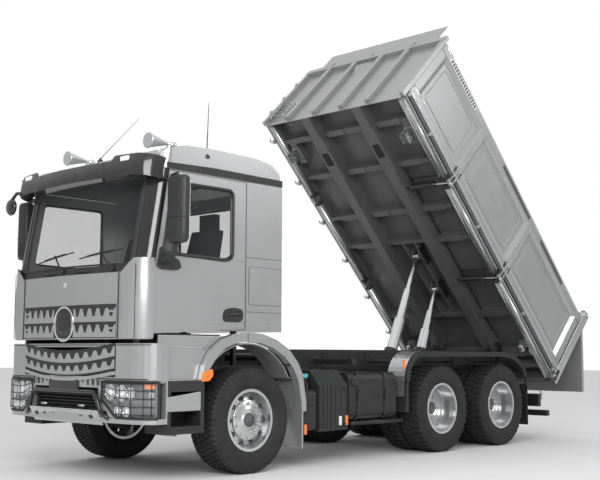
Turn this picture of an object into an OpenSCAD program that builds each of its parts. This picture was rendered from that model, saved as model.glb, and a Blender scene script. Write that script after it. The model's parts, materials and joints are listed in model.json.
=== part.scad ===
// Three-axle dump truck: chassis, tilting cab, steered front axle, twin-wheel
// rear bogie, and a tipping bed on two telescopic presses.
// Frame: +X is the vehicle's left, -Y is forward, +Z is up, millimetres.
// Modules are written with y = 0 at the front axle and z = 0 on the ground;
// placed() moves them so that y = 0 is the middle of the whole vehicle.

/* [Overall] */
// Front axle to first rear axle
wheelbase = 3300; // [3200:10:3600]
// Distance between the two rear axles
bogie_gap = 1350; // [1330:10:1400]
// Width of the cab over its side panels
cab_w = 2300; // [2250:10:2360]
// Front of the grille ahead of the front axle
front_overhang = 1460; // [1455:5:1500]
// Height of the cab roof above the ground
roof_z = 3275; // [3240:5:3400]
// Length of the bed's floor
bed_len = 5120; // [4900:10:5130]
// Height of the bed's side walls above the underside of its beams
bed_wall_h = 1290; // [1100:10:1450]
// Tilt of the bed as it stands, in degrees
bed_tilt = 45.7; // [40:0.1:47]

/* [Wheels] */
// Outer radius of every tyre
tyre_r = 538; // [520:1:545]
// Radius of the rim where the tyre sits
bead_r = 298; // [290:1:300]
// Section width of a front tyre
front_tyre_w = 380; // [320:5:385]
// Section width of a rear tyre
rear_tyre_w = 310; // [280:5:320]
// Middle of a front tyre from the centreline
front_track_x = 1050; // [1040:1:1055]
// Middle of an outer rear tyre from the centreline
rear_outer_x = 1095; // [1085:1:1100]
// Distance between the middles of twin tyres
twin_gap = 350; // [345:1:352]
// Kingpin from the centreline
kingpin_x = 900; // [890:1:905]

/* [Chassis] */
// Outer face of a frame rail from the centreline
rail_x = 465; // [460:1:470]
// Height of a frame rail
rail_h = 300; // [270:5:300]
// Width of a rail's flange
rail_flange = 80; // [70:1:85]
// Thickness of a rail's steel
rail_t = 9; // [8:0.5:10]
// Top of the frame rails above the ground
rail_top = 1080; // [1078:1:1085]
// Top of the tipping subframe above the ground
subframe_top = 1262; // [1240:1:1263]

/* [Bed] */
// Tipping axis behind the front axle
tip_y = 5580; // [5570:1:5590]
// Tipping axis above the ground
tip_z = 1315; // [1312:1:1320]
// Tipping axis ahead of the bed's rear edge
tip_u = 744; // [735:1:750]
// Tipping axis above the underside of the bed's beams
tip_w = 40; // [38:1:42]
// Half width of the bed inside its walls
bed_in_x = 1190; // [1190:1:1200]
// Thickness of a side wall with its posts
wall_t = 55; // [45:1:60]
// Underside of the floor plate above the underside of the beams
floor_w = 215; // [205:1:225]
// Thickness of the floor plate
floor_t = 10; // [8:0.5:12]
// Height of the board on top of the front wall
board_h = 370; // [300:10:420]

/* [Presses] */
// Lower pivot of the front press behind the front axle
press_a_y = 3600; // [3595:1:3605]
// Lower pivot of the rear press behind the front axle
press_b_y = 4300; // [4295:1:4305]
// Height of both lower pivots
press_z = 740; // [735:1:745]
// Upper eye of the front press ahead of the bed's rear edge
eye_a_u = 2468; // [2460:1:2475]
// Upper eye of the rear press ahead of the bed's rear edge
eye_b_u = 1837; // [1830:1:1845]
// Upper eyes above the underside of the bed's beams
eye_w = 130; // [125:1:132]
// Outer radius of a press barrel
press_r = 95; // [90:1:97]

/* [Hidden] */
$fn = 64;

silver = "#b8b9b9";
dark_silver = "#8d8e8f";
black = "#242526";
dark_grey = "#3a3b3d";
chrome = "#dfe3e6";

move_gap = 6;
pin_gap = 0.3;

axle_2_y = wheelbase;
axle_3_y = wheelbase + bogie_gap;
cab_x = cab_w / 2;

// Bed pose: a flat bed is turned about the tipping axis
bed_front_y = -(bed_len - tip_u);
gate_hinge_u = 100;
gate_hinge_w = bed_wall_h + 130;
gate_bottom_w = floor_w + floor_t + 25;
gate_top_w = bed_wall_h + 70;
gate_t = 60;

// A point given along (u, forward from the rear edge) and above (w) the flat bed,
// in side view [y, z] at a tilt angle
function bed_point(u, w, tilt) = [
    tip_y + (tip_u - u) * cos(tilt) + (w - tip_w) * sin(tilt),
    tip_z - (tip_u - u) * sin(tilt) + (w - tip_w) * cos(tilt)];

gate_hinge = bed_point(gate_hinge_u, gate_hinge_w, bed_tilt);
post_over_hinge = 40;
rear_y = bed_point(0, gate_hinge_w + post_over_hinge, bed_tilt)[0];
mid_y = (rear_y - front_overhang) / 2;

module placed() translate([0, -mid_y, 0]) children();

// Children are drawn with the bed flat, y back from the tipping axis, z up from it
module on_bed() placed() translate([0, tip_y, tip_z]) rotate([-bed_tilt, 0, 0]) children();

// From [u, w] of the flat bed to the on_bed frame
function bed_y(u) = tip_u - u;
function bed_z(w) = w - tip_w;

module both_sides() {
    children();
    mirror([1, 0, 0]) children();
}

// A box from its low corner to its high corner
module block(low, high) translate(low) cube(high - low);

// A side-view outline [y, z] given thickness from x0 to x1
module side_plate(x0, x1) translate([x0, 0, 0]) rotate([90, 0, 90]) linear_extrude(x1 - x0) children();

// A front-view outline [x, z] given length from y0 to y1
module long_bar(y0, y1) translate([0, y1, 0]) rotate([90, 0, 0]) linear_extrude(y1 - y0) children();

module x_rod(r, x0, x1, y, z) translate([x0, y, z]) rotate([0, 90, 0]) cylinder(r = r, h = x1 - x0);

module y_rod(r, y0, y1, x, z) translate([x, y1, z]) rotate([90, 0, 0]) cylinder(r = r, h = y1 - y0);

// A round bar between two points of one side view
module side_rod(r, x, a, b) {
    d = b - a;
    translate([x, a[0], a[1]]) rotate([-atan2(d[0], d[1]), 0, 0]) cylinder(r = r, h = norm(d));
}

module round_rect(w, h, r) translate([r, r]) offset(r = r, $fn = 32) square([w - 2 * r, h - 2 * r]);

// ---------------------------------------------------------------- chassis

rail_front_y = -1330;
rail_rear_y = 5750;

// The cab tilts about a pin on each rail's front end
cab_pivot_y = -1300;
cab_pivot_z = 1000;
cab_pin_r = 25;
cab_arm_x = rail_x + 17;
cab_arm_t = 28;

module chassis_rails() color(black) placed() both_sides() {
    long_bar(rail_front_y, rail_rear_y) translate([rail_x, rail_top - rail_h]) {
        translate([-rail_t, 0]) square([rail_t, rail_h]);
        translate([-rail_flange, 0]) square([rail_flange, rail_t]);
        translate([-rail_flange, rail_h - rail_t]) square([rail_flange, rail_t]);
    }
    x_rod(cab_pin_r, rail_x - rail_t, cab_arm_x + cab_arm_t, cab_pivot_y, cab_pivot_z);
}

web_x = rail_x - rail_t;
cross_y = [-1130, 1230, 1800, 2450, 3960, 5050, 5690];
cradle_x = 112;
cradle_t = 20;
trunnion_r = 30;

module cross_beam(y, z0, z1) block([-web_x, y - 30, z0], [web_x, y + 30, z1]);

module press_cradle(y) {
    beam_y = y - 150;
    cross_beam(beam_y, 800, 880);
    both_sides() difference() {
        side_plate(cradle_x, cradle_x + cradle_t) hull() {
            translate([y, press_z]) circle(r = 58, $fn = 32);
            translate([beam_y - 30, 800]) square([60, 80]);
        }
        x_rod(trunnion_r + pin_gap, cradle_x - 1, cradle_x + cradle_t + 1, y, press_z);
    }
}

tow_pin_r = 20;
tow_y = 5792;
module tow_jaw() difference() {
    block([-60, 5719, 840], [60, tow_y + 50, 960]);
    block([-70, 5750, 870], [70, tow_y + 60, 930]);
    translate([0, tow_y, 800]) cylinder(r = tow_pin_r, h = 200);
}

module cross_members() color(black) placed() {
    for (y = cross_y) cross_beam(y, 850, 950);
    press_cradle(press_a_y);
    press_cradle(press_b_y);
    tow_jaw();
    // Posts under the back of the cab
    both_sides() block([400, 440, rail_top], [460, 490, cab_bottom - pin_gap]);
}

sub_x0 = 388;
sub_x1 = 463;
sub_front_y = 900;
sub_rear_y = 5640;
lug_x0 = 525;
lug_t = 30;
tip_pin_r = 40;
lug_r = 65;
seat_u = 4510;
seat_y = tip_y + bed_y(seat_u);

module tip_bracket() {
    block([sub_x1 - 1, tip_y - 90, 1110], [620, tip_y + 60, 1238]);
    difference() {
        side_plate(lug_x0 + lug_t + 5, 620) hull() {
            translate([tip_y, tip_z]) circle(r = lug_r, $fn = 32);
            translate([tip_y - 90, 1110]) square([150, 60]);
        }
    }
    x_rod(tip_pin_r, lug_x0 + 3, 600, tip_y, tip_z);
}

module bed_seat() {
    block([sub_x1 - 1, seat_y - 40, rail_top + 10], [1050, seat_y + 40, rail_top + 70]);
    translate([1000, seat_y, rail_top + 70]) cylinder(r = 28, h = 15);
}

module tipping_subframe() color(black) placed() {
    both_sides() {
        block([sub_x0, sub_front_y, rail_top], [sub_x1, sub_rear_y, subframe_top]);
        tip_bracket();
        bed_seat();
    }
    for (y = [1100, 2300, 3400, 4150, 5000]) x_rod(45, -sub_x0 - 1, sub_x0 + 1, y, 1170);
}

module engine() color(dark_grey) placed() {
    block([-330, -1000, 640], [330, 430, 1385]);
    for (y = [-680, 280]) block([-web_x, y - 40, 800], [web_x, y + 40, 860]);
    block([-380, -1240, 620], [380, -1160, 1385]);
}

module driveline() color(dark_grey) placed() {
    block([-210, 430, 640], [210, 590, 1060]);
    hull() {
        block([-200, 655, 660], [200, 700, 1000]);
        block([-130, 1100, 700], [130, 1150, 900]);
    }
    y_rod(120, 589, 656, 0, 820);
    side_rod(48, 0, [1149, 790], [axle_2_y - 262, 575]);
    y_rod(42, axle_2_y + case_len, axle_3_y - 260, 0, 565);
    for (y = [axle_2_y, axle_3_y]) y_rod(55, y - 275, y - nose_len, 0, 565);
}

beam_top = 530;
module front_axle() color(black) placed() {
    block([-790, -60, 430], [790, 60, beam_top]);
    both_sides() {
        difference() {
            union() {
                translate([kingpin_x, 0, 600]) cylinder(r = 62, h = 40);
                translate([kingpin_x, 0, 410]) cylinder(r = 62, h = 40);
                block([780, -55, 410], [kingpin_x - 62 + 40, 55, 450]);
                block([780, -55, 600], [kingpin_x - 62 + 40, 55, 640]);
                block([760, -55, 410], [800, 55, 640]);
            }
            translate([kingpin_x, 0, 400]) cylinder(r = 30 + pin_gap, h = 250);
        }
    }
    x_rod(16, -700, 700, 130, 500);
    for (x = [-500, 500]) block([x - 20, 59, 460], [x + 20, 150, 540]);
}

axle_tube_r = 75;
spindle_r = 45;
drum_x0 = 620;
drum_x1 = 830;
nose_len = 250;
case_len = 150;

pad_top = 652;
module drive_axle(y) {
    x_rod(axle_tube_r, -drum_x0 - 1, drum_x0 + 1, y, tyre_r);
    y_rod(185, y - 80, y + 80, 0, tyre_r);
    y_rod(135, y - 150, y + case_len, 0, tyre_r);
    y_rod(80, y - nose_len, y - 149, 0, 560);
    both_sides() {
        x_rod(200, drum_x0, drum_x1, y, tyre_r);
        x_rod(spindle_r, drum_x1 - 1, 1030, y, tyre_r);
        block([sub_x1 + 20, y - 60, tyre_r], [sub_x1 + 110, y + 60, pad_top]);
    }
}

module rear_axles() color(black) placed() {
    drive_axle(axle_2_y);
    drive_axle(axle_3_y);
}

// A leaf pack: an arched band of steel, its middle at (y, z), curving up at both ends
module leaf(y, z, half_len, r, t) side_plate(0, 80) intersection() {
    translate([y, z + r]) difference() {
        circle(r = r, $fn = 200);
        circle(r = r - t, $fn = 200);
    }
    translate([y - half_len, z - 1]) square([2 * half_len, 200]);
}

module front_spring() translate([rail_x - rail_flange, 0, 0]) {
    leaf(0, 560, 760, 3600, 40);
    leaf(0, 545, 560, 3600, 16);
    block([0, -70, beam_top], [80, 70, 565]);
    for (s = [-1, 1]) block([0, s * 735 - 35, 630], [80, s * 735 + 35, rail_top - rail_h]);
}

bogie_y = (axle_2_y + axle_3_y) / 2;
module rear_spring() translate([sub_x1 + 22, 0, 0]) {
    half = bogie_gap / 2 + 50;
    side_plate(0, 86) polygon([[bogie_y - half, pad_top], [bogie_y + half, pad_top], [bogie_y + half, 690],
        [bogie_y + 130, 840], [bogie_y - 130, 840], [bogie_y - half, 690]]);
    block([-20, bogie_y - 110, 600], [86, bogie_y + 110, 1000]);
}

module springs() color(dark_grey) placed() both_sides() {
    front_spring();
    rear_spring();
}

// ---------------------------------------------------------------- side equipment

module rail_arm(y, z, x1) block([rail_x, y - 35, z], [x1, y + 35, z + 90]);

module fuel_tank() color(black) placed() {
    tank_y0 = 1565;
    tank_y1 = 2430;
    long_bar(tank_y0, tank_y1) translate([640, 470]) round_rect(540, 530, 90);
    for (y = [tank_y0 + 170, tank_y1 - 200]) {
        long_bar(y - 30, y + 30) translate([634, 464]) round_rect(552, 542, 95);
        rail_arm(y, 800, 650);
    }
}

module side_boxes() color(black) placed() {
    // Battery cover with a chamfered top
    side_cover = [[600, 370], [1190, 370], [1190, 860], [1040, 1030], [600, 1030]];
    long_bar(1050, 1530) polygon(side_cover);
    rail_arm(1290, 820, 610);
    // Additive tank with its filler neck
    long_bar(810, 1020) translate([760, 380]) round_rect(420, 440, 60);
    translate([1080, 915, 800]) cylinder(r = 55, h = 100);
    translate([1080, 915, 899]) cylinder(r = 42, h = 55);
    rail_arm(915, 800, 780);
    block([760, 880, 780], [830, 950, 890]);
}

module silencer_and_air_tanks() color(dark_grey) placed() mirror([1, 0, 0]) {
    long_bar(900, 1650) translate([620, 400]) round_rect(560, 600, 70);
    rail_arm(1250, 820, 640);
    for (z = [560, 850]) y_rod(130, 1740, 2500, 1020, z);
    for (y = [1850, 2380]) {
        rail_arm(y, 800, 900);
        block([880, y - 35, 500], [940, y + 35, 920]);
    }
}

// ---------------------------------------------------------------- cab plan

corner_x = 930;
corner_y = -(front_overhang - 70);
plan_steps = 8;

// Plan of the vehicle's nose: a shallow bow, then rounded corners, then straight sides
function nose_half(half_w, nose_y, cy, side_y) = concat(
    [for (i = [0:plan_steps]) let (x = corner_x * i / plan_steps)
        [x, nose_y + (cy - nose_y) * pow(x / corner_x, 2)]],
    [for (a = [15:15:90])
        [corner_x + (half_w - corner_x) * sin(a), side_y + (cy - side_y) * cos(a)]]);

module nose_plan(half_w, nose_y, cy, side_y, back_y) {
    half = nose_half(half_w, nose_y, cy, side_y);
    polygon(concat(half, [[half_w, back_y], [-half_w, back_y]],
        [for (i = [len(half) - 1:-1:1]) [-half[i][0], half[i][1]]]));
}

bumper_x = 1245;
bumper_z0 = 550;
bumper_z1 = 1305;
bumper_nose_y = -(front_overhang - 25);
bumper_side_y = -1190;

module bumper_plan(inset = 0) offset(delta = -inset)
    nose_plan(bumper_x, bumper_nose_y, corner_y + 15, bumper_side_y, -1000);

module bumper_form(inset, z0, z1) translate([0, 0, z0]) linear_extrude(z1 - z0) bumper_plan(inset);

lamp_low = [600, -1500, 600];
lamp_high = [1300, -1130, 950];

module bumper() color(silver) placed() {
    bumper_skin();
    // Brackets on the rails' front ends
    both_sides() block([392, -1390, 890], [458, rail_front_y, 980]);
}

module bumper_skin() difference() {
    bumper_form(0, bumper_z0, bumper_z1);
    translate([0, 0, -1]) bumper_form(70, bumper_z0, bumper_z1 + 2);
    block([-2000, -1110, 0], [2000, 0, 2000]);
    both_sides() block(lamp_low, lamp_high);
    block([-560, -1600, 660], [560, -1200, 880]);
    block([-800, -1600, 985], [800, -1200, 1270]);
}

module headlights() color(chrome) placed() both_sides() intersection() {
    difference() {
        bumper_form(4, lamp_low[2] + pin_gap, lamp_high[2] - pin_gap);
        translate([0, 0, -1]) bumper_form(69, lamp_low[2], lamp_high[2] + 2);
    }
    block(lamp_low + [pin_gap, 0, 0], lamp_high - [0, 1, 0]);
}

step_front_y = -1105;
module entry_steps() color(black) placed() both_sides() {
    // Step box with two treads
    difference() {
        block([900, step_front_y, 447], [1240, -650, 955]);
        block([1000, step_front_y + 40, 520], [1300, -700, 660]);
        block([1000, step_front_y + 40, 720], [1300, -700, 850]);
    }
    block([rail_x, -1000, 800], [905, -930, 860]);
    // Painted panel above it
    block([1100, step_front_y, 955], [1150, -700, 1375]);
}

arch_x0 = 1156;
arch_x1 = 1248;
module arch_outline() polygon([[-700, 955], [-660, 1100], [-560, 1250], [-420, 1350], [-250, 1408], [-80, 1424],
    [120, 1412], [330, 1352], [520, 1250], [660, 1110], [740, 960], [790, 700], [790, 600], [720, 600],
    [715, 700], [665, 930], [590, 1060], [460, 1180], [290, 1270], [110, 1320], [-80, 1330], [-230, 1318],
    [-380, 1268], [-500, 1180], [-590, 1060], [-630, 955]]);

module front_mudguards() color(silver) placed() both_sides() {
    side_plate(arch_x0, arch_x1) arch_outline();
    // Liner over the tyre
    side_plate(860, arch_x0 + 1) difference() {
        translate([0, 620]) circle(r = 700, $fn = 100);
        translate([0, 620]) circle(r = 686, $fn = 100);
        translate([-800, -100]) square([1600, 1055]);
    }
    block([860, 722, 210], [1248, 742, 955]);
    block([860, 690, 940], [arch_x0 + 1, 742, 956]);
    for (y = [-606, 606]) x_rod(18, rail_x, 865, y, 966);
}

// Twin arch over the rear bogie
guard_top = 1240;
module guard_outline(inset) offset(delta = -inset) polygon(concat(
    [[axle_2_y - 770, 520]],
    [for (a = [0:15:90]) [axle_2_y - 430 - 310 * cos(a), guard_top - 360 + 360 * sin(a)]],
    [for (a = [90:-15:0]) [axle_3_y + 20 + 620 * cos(a), guard_top - 360 + 360 * sin(a)]],
    [[axle_3_y + 685, 786], [axle_3_y + 300, 786], [axle_3_y + 300, 520]]));

module guard_band(x0, x1, t) side_plate(x0, x1) difference() {
    guard_outline(0);
    guard_outline(t);
    translate([axle_2_y - 770 + t, 0]) square([bogie_gap + 770 + 620 + 40 - 2 * t + 30, 880]);
    translate([axle_3_y, 0]) square([610, 900]);
}

module rear_mudguards() color(dark_grey) placed() both_sides() {
    guard_band(930, 1215, 14);
    guard_band(1214, 1246, 60);
    for (y = [axle_2_y - 480, bogie_y, axle_3_y + 380]) {
        x_rod(22, sub_x1, 935, y, 1120);
        block([925, y - 25, 1100], [945, y + 25, 1232]);
    }
}

module underrun_bar() color(black) placed() {
    block([-1150, 5960, 330], [1150, 6040, 410]);
    both_sides() {
        block([rail_x - 80, rail_rear_y, 360], [rail_x, 5970, 780]);
        block([rail_x - 80, 5650, 700], [rail_x, rail_rear_y + 10, rail_top - rail_h]);
        block([850, 5785, 480], [1120, 5850, 640]);
        block([rail_x - 10, 5795, 560], [860, 5840, 620]);
    }
}

// ---------------------------------------------------------------- cab

cab_bottom = 1440;
cab_rear_y = 500;
sill_z = 2000;
rake = 9.6;
screen_foot_y = -(front_overhang - 40);
cab_wall = 48;
bulkhead_y = -1395;

module cab_side_outline(inset = 0) offset(delta = -inset) polygon([[bulkhead_y, cab_bottom], [bulkhead_y, sill_z],
    [screen_foot_y - 20, sill_z], [-1225, roof_z - 265], [-1180, roof_z - 150], [-1060, roof_z - 60],
    [-850, roof_z - 13], [-500, roof_z], [100, roof_z - 12], [340, roof_z - 48], [450, roof_z - 130],
    [cab_rear_y, roof_z - 280], [cab_rear_y, cab_bottom]]);

// The bowed nose leaning back with the windscreen
module leaning_nose(inset) translate([0, screen_foot_y, sill_z]) rotate([-rake, 0, 0])
    translate([0, 0, -400]) linear_extrude(2200) offset(delta = -inset)
        nose_plan(cab_x, 0, 60, 190, 3500);

module lower_nose(inset) translate([0, 0, cab_bottom - 100]) linear_extrude(sill_z - cab_bottom + 100.5)
    offset(delta = -inset) difference() {
        nose_plan(cab_x, -(front_overhang - 60), corner_y + 40, -1180, 3500);
        // Room for the front panel's turned-back ends
        difference() {
            translate([-2000, -2000]) square([4000, 2000 + panel_back_y + 1]);
            panel_plan(panel_t + pin_gap);
        }
    }

module cab_form(inset) intersection() {
    side_plate(-cab_x + inset, cab_x - inset) cab_side_outline(inset);
    union() {
        intersection() {
            leaning_nose(inset);
            block([-2000, -2000, sill_z], [2000, 2000, 5000]);
        }
        lower_nose(inset);
    }
}

door_front_y = -1222;
door_rear_y = -38;
door_low_front = 1400;
door_low_rear = 1460;
door_top = 2985;
module door_outline() polygon([[door_front_y, door_low_front], [door_front_y, 2040], [-1066, door_top],
    [door_rear_y, door_top], [door_rear_y, door_low_rear]]);
module door_window_outline() offset(r = 40, $fn = 24) offset(delta = -40)
    polygon([[-1128, 2175], [-1010, 2880], [-215, 2880], [-215, 2185], [-300, 2150]]);

module cab_shell() color(silver) placed() {
    cab_walls();
    cab_arms();
}

module cab_walls() difference() {
    cab_form(0);
    cab_form(cab_wall);
    // Door openings
    both_sides() side_plate(cab_x - cab_wall - 30, cab_x + 50) offset(delta = door_gap) door_outline();
    // Windscreen opening
    block([-1010, -1700, 2060], [1010, -1100, 2955]);
    // Rear window opening
    block([-560, 400, 2240], [560, 600, 2840]);
}

// Arms that reach back from the tilt pivot and up to the cab's floor
module cab_arms() both_sides() difference() {
    side_plate(cab_arm_x, cab_arm_x + cab_arm_t) {
        hull() {
            translate([cab_pivot_y, cab_pivot_z]) circle(r = 36, $fn = 32);
            translate([-930, 1110]) circle(r = 36, $fn = 32);
        }
        translate([-966, 1110]) square([72, cab_bottom + 5 - 1110]);
    }
    x_rod(cab_pin_r + pin_gap, cab_arm_x - 1, cab_arm_x + cab_arm_t + 1, cab_pivot_y, cab_pivot_z);
}

module cab_glass() color([0.2, 0.22, 0.24, 0.5]) placed() {
    intersection() {
        difference() {
            leaning_nose(6);
            leaning_nose(14);
        }
        block([-1010 + pin_gap, -1700, 2060 + pin_gap], [1010 - pin_gap, -1150, 2955 - pin_gap]);
    }
    block([-560 + pin_gap, 470, 2240 + pin_gap], [560 - pin_gap, 478, 2840 - pin_gap]);
}

panel_z0 = 1345;
panel_t = 24;
panel_back_y = -1234;
module panel_plan(inset) offset(delta = -inset) nose_plan(cab_x - 2, -front_overhang, corner_y, -1235, 0);

module panel_form(inset) translate([0, 0, panel_z0]) linear_extrude(sill_z - 12 - panel_z0) panel_plan(inset);

module front_panel() color(silver) placed() {
    difference() {
        panel_form(0);
        translate([0, 0, -1]) panel_form(panel_t);
        translate([0, 0, 1]) panel_form(panel_t);
        block([-2000, panel_back_y, 0], [2000, 0, 3000]);
        // Grille openings
        for (z = [1395, 1560]) block([-760, -1700, z], [760, -1300, z + 110]);
    }
    // Grille bars
    for (z = [1440, 1605]) block([-780, -1425, z], [780, -1405, z + 20]);
    // Round blank badge
    y_rod(175, -front_overhang, -front_overhang + 30, 0, 1500);
}

module sun_visor() color(black) placed() {
    intersection() {
        difference() {
            translate([0, -190, 40]) leaning_nose(-10);
            translate([0, -190, 40]) leaning_nose(2);
        }
        block([-1130, -1800, 2945], [1130, -1350, 3190]);
    }
    difference() {
        for (x = [-760, 0, 760]) block([x - 12, -1435, 3050], [x + 12, -1150, 3075]);
        cab_form(0);
    }
}

module seat(x) {
    block([x - 240, -750, 1700], [x + 240, -200, 1830]);
    hull() {
        block([x - 240, -260, 1830], [x + 240, -150, 1860]);
        block([x - 200, -100, 2480], [x + 200, 0, 2520]);
    }
    block([x - 150, -600, cab_bottom + cab_wall], [x + 150, -300, 1701]);
    block([x - 120, -60, 2519], [x + 120, 20, 2700]);
}

module seats() color(dark_grey) placed() {
    seat(560);
    seat(-560);
}

module dashboard() color(dark_grey) placed() {
    intersection() {
        side_plate(-1050, 1050) polygon([[-1400, 1560], [-1400, 1960], [-1250, 2010], [-1050, 1960],
            [-1000, 1800], [-1100, 1560]]);
        cab_form(cab_wall + pin_gap);
    }
    // Steering wheel on its column
    translate([560, -900, 1990]) rotate([-35, 0, 0]) {
        rotate_extrude() translate([210, 0]) circle(r = 15);
        cylinder(r = 55, h = 30);
        for (a = [0:120:240]) rotate([0, 0, a + 30]) block([0, -14, 0], [205, 14, 18]);
        translate([0, 0, -200]) cylinder(r = 30, h = 205);
    }
}

module horn(x, y, z, len) {
    translate([x, y, z]) rotate([90, 0, 0]) cylinder(r1 = 18, r2 = 75, h = len);
    translate([x, y - 1, z]) rotate([-90, 0, 0]) cylinder(r = 20, h = 60);
    translate([x - 15, y + 10, roof_z - 40]) cube([30, 30, z - roof_z + 40]);
}

module roof_horns() color(chrome) placed() difference() {
    union() {
        horn(720, -760, roof_z + 80, 230);
        horn(-720, -760, roof_z + 80, 230);
    }
    cab_form(0);
}

// ---------------------------------------------------------------- doors and mirrors

door_gap = 6;
module door_panel() {
    side_plate(cab_x - cab_wall, cab_x) difference() {
        door_outline();
        door_window_outline();
    }
    // Hinge leaves that reach across the shut line
    for (z = [1550, 1900]) block([cab_x - cab_wall + 1, door_front_y - door_gap + pin_gap, z],
        [cab_x - cab_wall + 10, door_front_y + 1, z + 60]);
}

module door_glass() side_plate(cab_x - 26, cab_x - 20) offset(delta = -1) door_window_outline();

mirror_x0 = 1230;
module mirror_unit() {
    hull() {
        translate([mirror_x0 + 60, -1115, 2250]) cylinder(r = 60, h = 650, $fn = 32);
        translate([mirror_x0 + 200, -1115, 2280]) cylinder(r = 60, h = 590, $fn = 32);
    }
    block([cab_x, -1150, 2075], [1300, -1090, 2135]);
    block([1270, -1150, 2130], [1310, -1090, 2260]);
    block([cab_x, -1040, 2920], [1290, -1000, 2950]);
    block([1260, -1130, 2890], [1295, -1000, 2950]);
}

module left_door() color(silver) placed() door_panel();
module right_door() color(silver) placed() mirror([1, 0, 0]) door_panel();
module left_door_glass() color([0.2, 0.22, 0.24, 0.5]) placed() door_glass();
module right_door_glass() color([0.2, 0.22, 0.24, 0.5]) placed() mirror([1, 0, 0]) door_glass();
module left_mirror() color(black) placed() mirror_unit();
module right_mirror() color(black) placed() mirror([1, 0, 0]) mirror_unit();

// ---------------------------------------------------------------- wheels

knuckle_z0 = 450 + 2;
knuckle_z1 = 600 - 2;
front_spindle_r = 40;

module knuckle() {
    translate([kingpin_x, 0, 405]) cylinder(r = 30, h = 240);
    translate([kingpin_x, 0, knuckle_z0]) cylinder(r = 70, h = knuckle_z1 - knuckle_z0);
    x_rod(60, kingpin_x, 990, 0, tyre_r);
    x_rod(195, 976, 1060, 0, tyre_r);
    x_rod(front_spindle_r, 1059, 1150, 0, tyre_r);
    block([kingpin_x - 20, 0, 500], [kingpin_x + 20, 160, 530]);
}

module left_knuckle() color(dark_grey) placed() knuckle();
module right_knuckle() color(dark_grey) placed() mirror([1, 0, 0]) knuckle();

// Half of a tyre section is [across, radius]; both halves make a closed ring
function tyre_half(w) = [[w * 0.39, bead_r + 0.5], [w * 0.395, bead_r + 22], [w * 0.46, bead_r + 48],
    [w * 0.5, bead_r + 102], [w * 0.495, bead_r + 170], [w * 0.46, tyre_r - 20], [w * 0.42, tyre_r]];

module tyre(w) rotate([0, 90, 0]) rotate_extrude($fn = 128) {
    half = tyre_half(w);
    other = [for (i = [len(half) - 1:-1:0]) [-half[i][0], half[i][1]]];
    polygon([for (p = concat(half, other)) [p[1], p[0]]]);
}

module rim_shell(w) rotate([0, 90, 0]) rotate_extrude($fn = 128) {
    seat = w * 0.39;
    polygon([[bead_r, -seat + 1], [bead_r, seat - 1], [bead_r, seat + 4], [bead_r + 18, seat + 4],
        [bead_r + 18, seat + 14], [bead_r - 12, seat + 14], [bead_r - 12, -seat - 14],
        [bead_r + 18, -seat - 14], [bead_r + 18, -seat - 4], [bead_r, -seat - 4]]);
}

stud_pcd_r = 167.5;
hub_face_r = 140;

module hand_holes(x0, x1, r) for (a = [0:36:324]) rotate([a + 18, 0, 0])
    translate([x0, 0, 228]) rotate([0, 90, 0]) cylinder(r = r, h = x1 - x0);

// Front wheel: the disc bulges outwards
module front_rim() difference() {
    union() {
        rim_shell(front_tyre_w);
        rotate([0, 90, 0]) rotate_extrude($fn = 96)
            polygon([[0, 92], [hub_face_r, 92], [200, 84], [240, 66], [bead_r - 11, 30], [bead_r - 11, 46],
                [246, 84], [206, 102], [hub_face_r - 20, 110], [80, 112], [70, 150], [0, 150]]);
    }
    hand_holes(0, 200, 24);
    x_rod(front_spindle_r + pin_gap, -200, front_spindle_end, 0, 0);
}
front_spindle_end = 1150 - front_track_x + 3;

// Rear pair: both discs bolt together between the tyres
disc_x = rear_outer_x - twin_gap / 2;
module twin_rims() difference() {
    union() {
        translate([rear_outer_x, 0, 0]) rim_shell(rear_tyre_w);
        translate([rear_outer_x - twin_gap, 0, 0]) rim_shell(rear_tyre_w);
        rotate([0, 90, 0]) rotate_extrude($fn = 96)
            polygon([[0, disc_x - 16], [205, disc_x - 16], [245, disc_x - 40], [bead_r - 11, disc_x - 90],
                [bead_r - 11, disc_x - 74], [250, disc_x - 26], [225, disc_x], [250, disc_x + 26],
                [bead_r - 11, disc_x + 74], [bead_r - 11, disc_x + 90], [245, disc_x + 40],
                [205, disc_x + 16], [130, disc_x + 16], [120, 1060], [0, 1060]]);
    }
    hand_holes(disc_x - 120, disc_x + 120, 22);
    x_rod(spindle_r + pin_gap, 0, 1034, 0, 0);
}

module twin_tyres() {
    translate([rear_outer_x, 0, 0]) tyre(rear_tyre_w);
    translate([rear_outer_x - twin_gap, 0, 0]) tyre(rear_tyre_w);
}

module at_axle(y, x = 0) placed() translate([x, y, tyre_r]) children();
module right_side() mirror([1, 0, 0]) children();

module front_left_tyre() color(black) at_axle(0, front_track_x) tyre(front_tyre_w);
module front_right_tyre() color(black) at_axle(0, -front_track_x) right_side() tyre(front_tyre_w);
module front_left_rim() color(chrome) at_axle(0, front_track_x) front_rim();
module front_right_rim() color(chrome) at_axle(0, -front_track_x) right_side() front_rim();
module mid_left_tyres() color(black) at_axle(axle_2_y) twin_tyres();
module mid_right_tyres() color(black) at_axle(axle_2_y) right_side() twin_tyres();
module rear_left_tyres() color(black) at_axle(axle_3_y) twin_tyres();
module rear_right_tyres() color(black) at_axle(axle_3_y) right_side() twin_tyres();
module mid_left_rims() color(chrome) at_axle(axle_2_y) twin_rims();
module mid_right_rims() color(chrome) at_axle(axle_2_y) right_side() twin_rims();
module rear_left_rims() color(chrome) at_axle(axle_3_y) twin_rims();
module rear_right_rims() color(chrome) at_axle(axle_3_y) right_side() twin_rims();

// ---------------------------------------------------------------- bed

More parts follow.
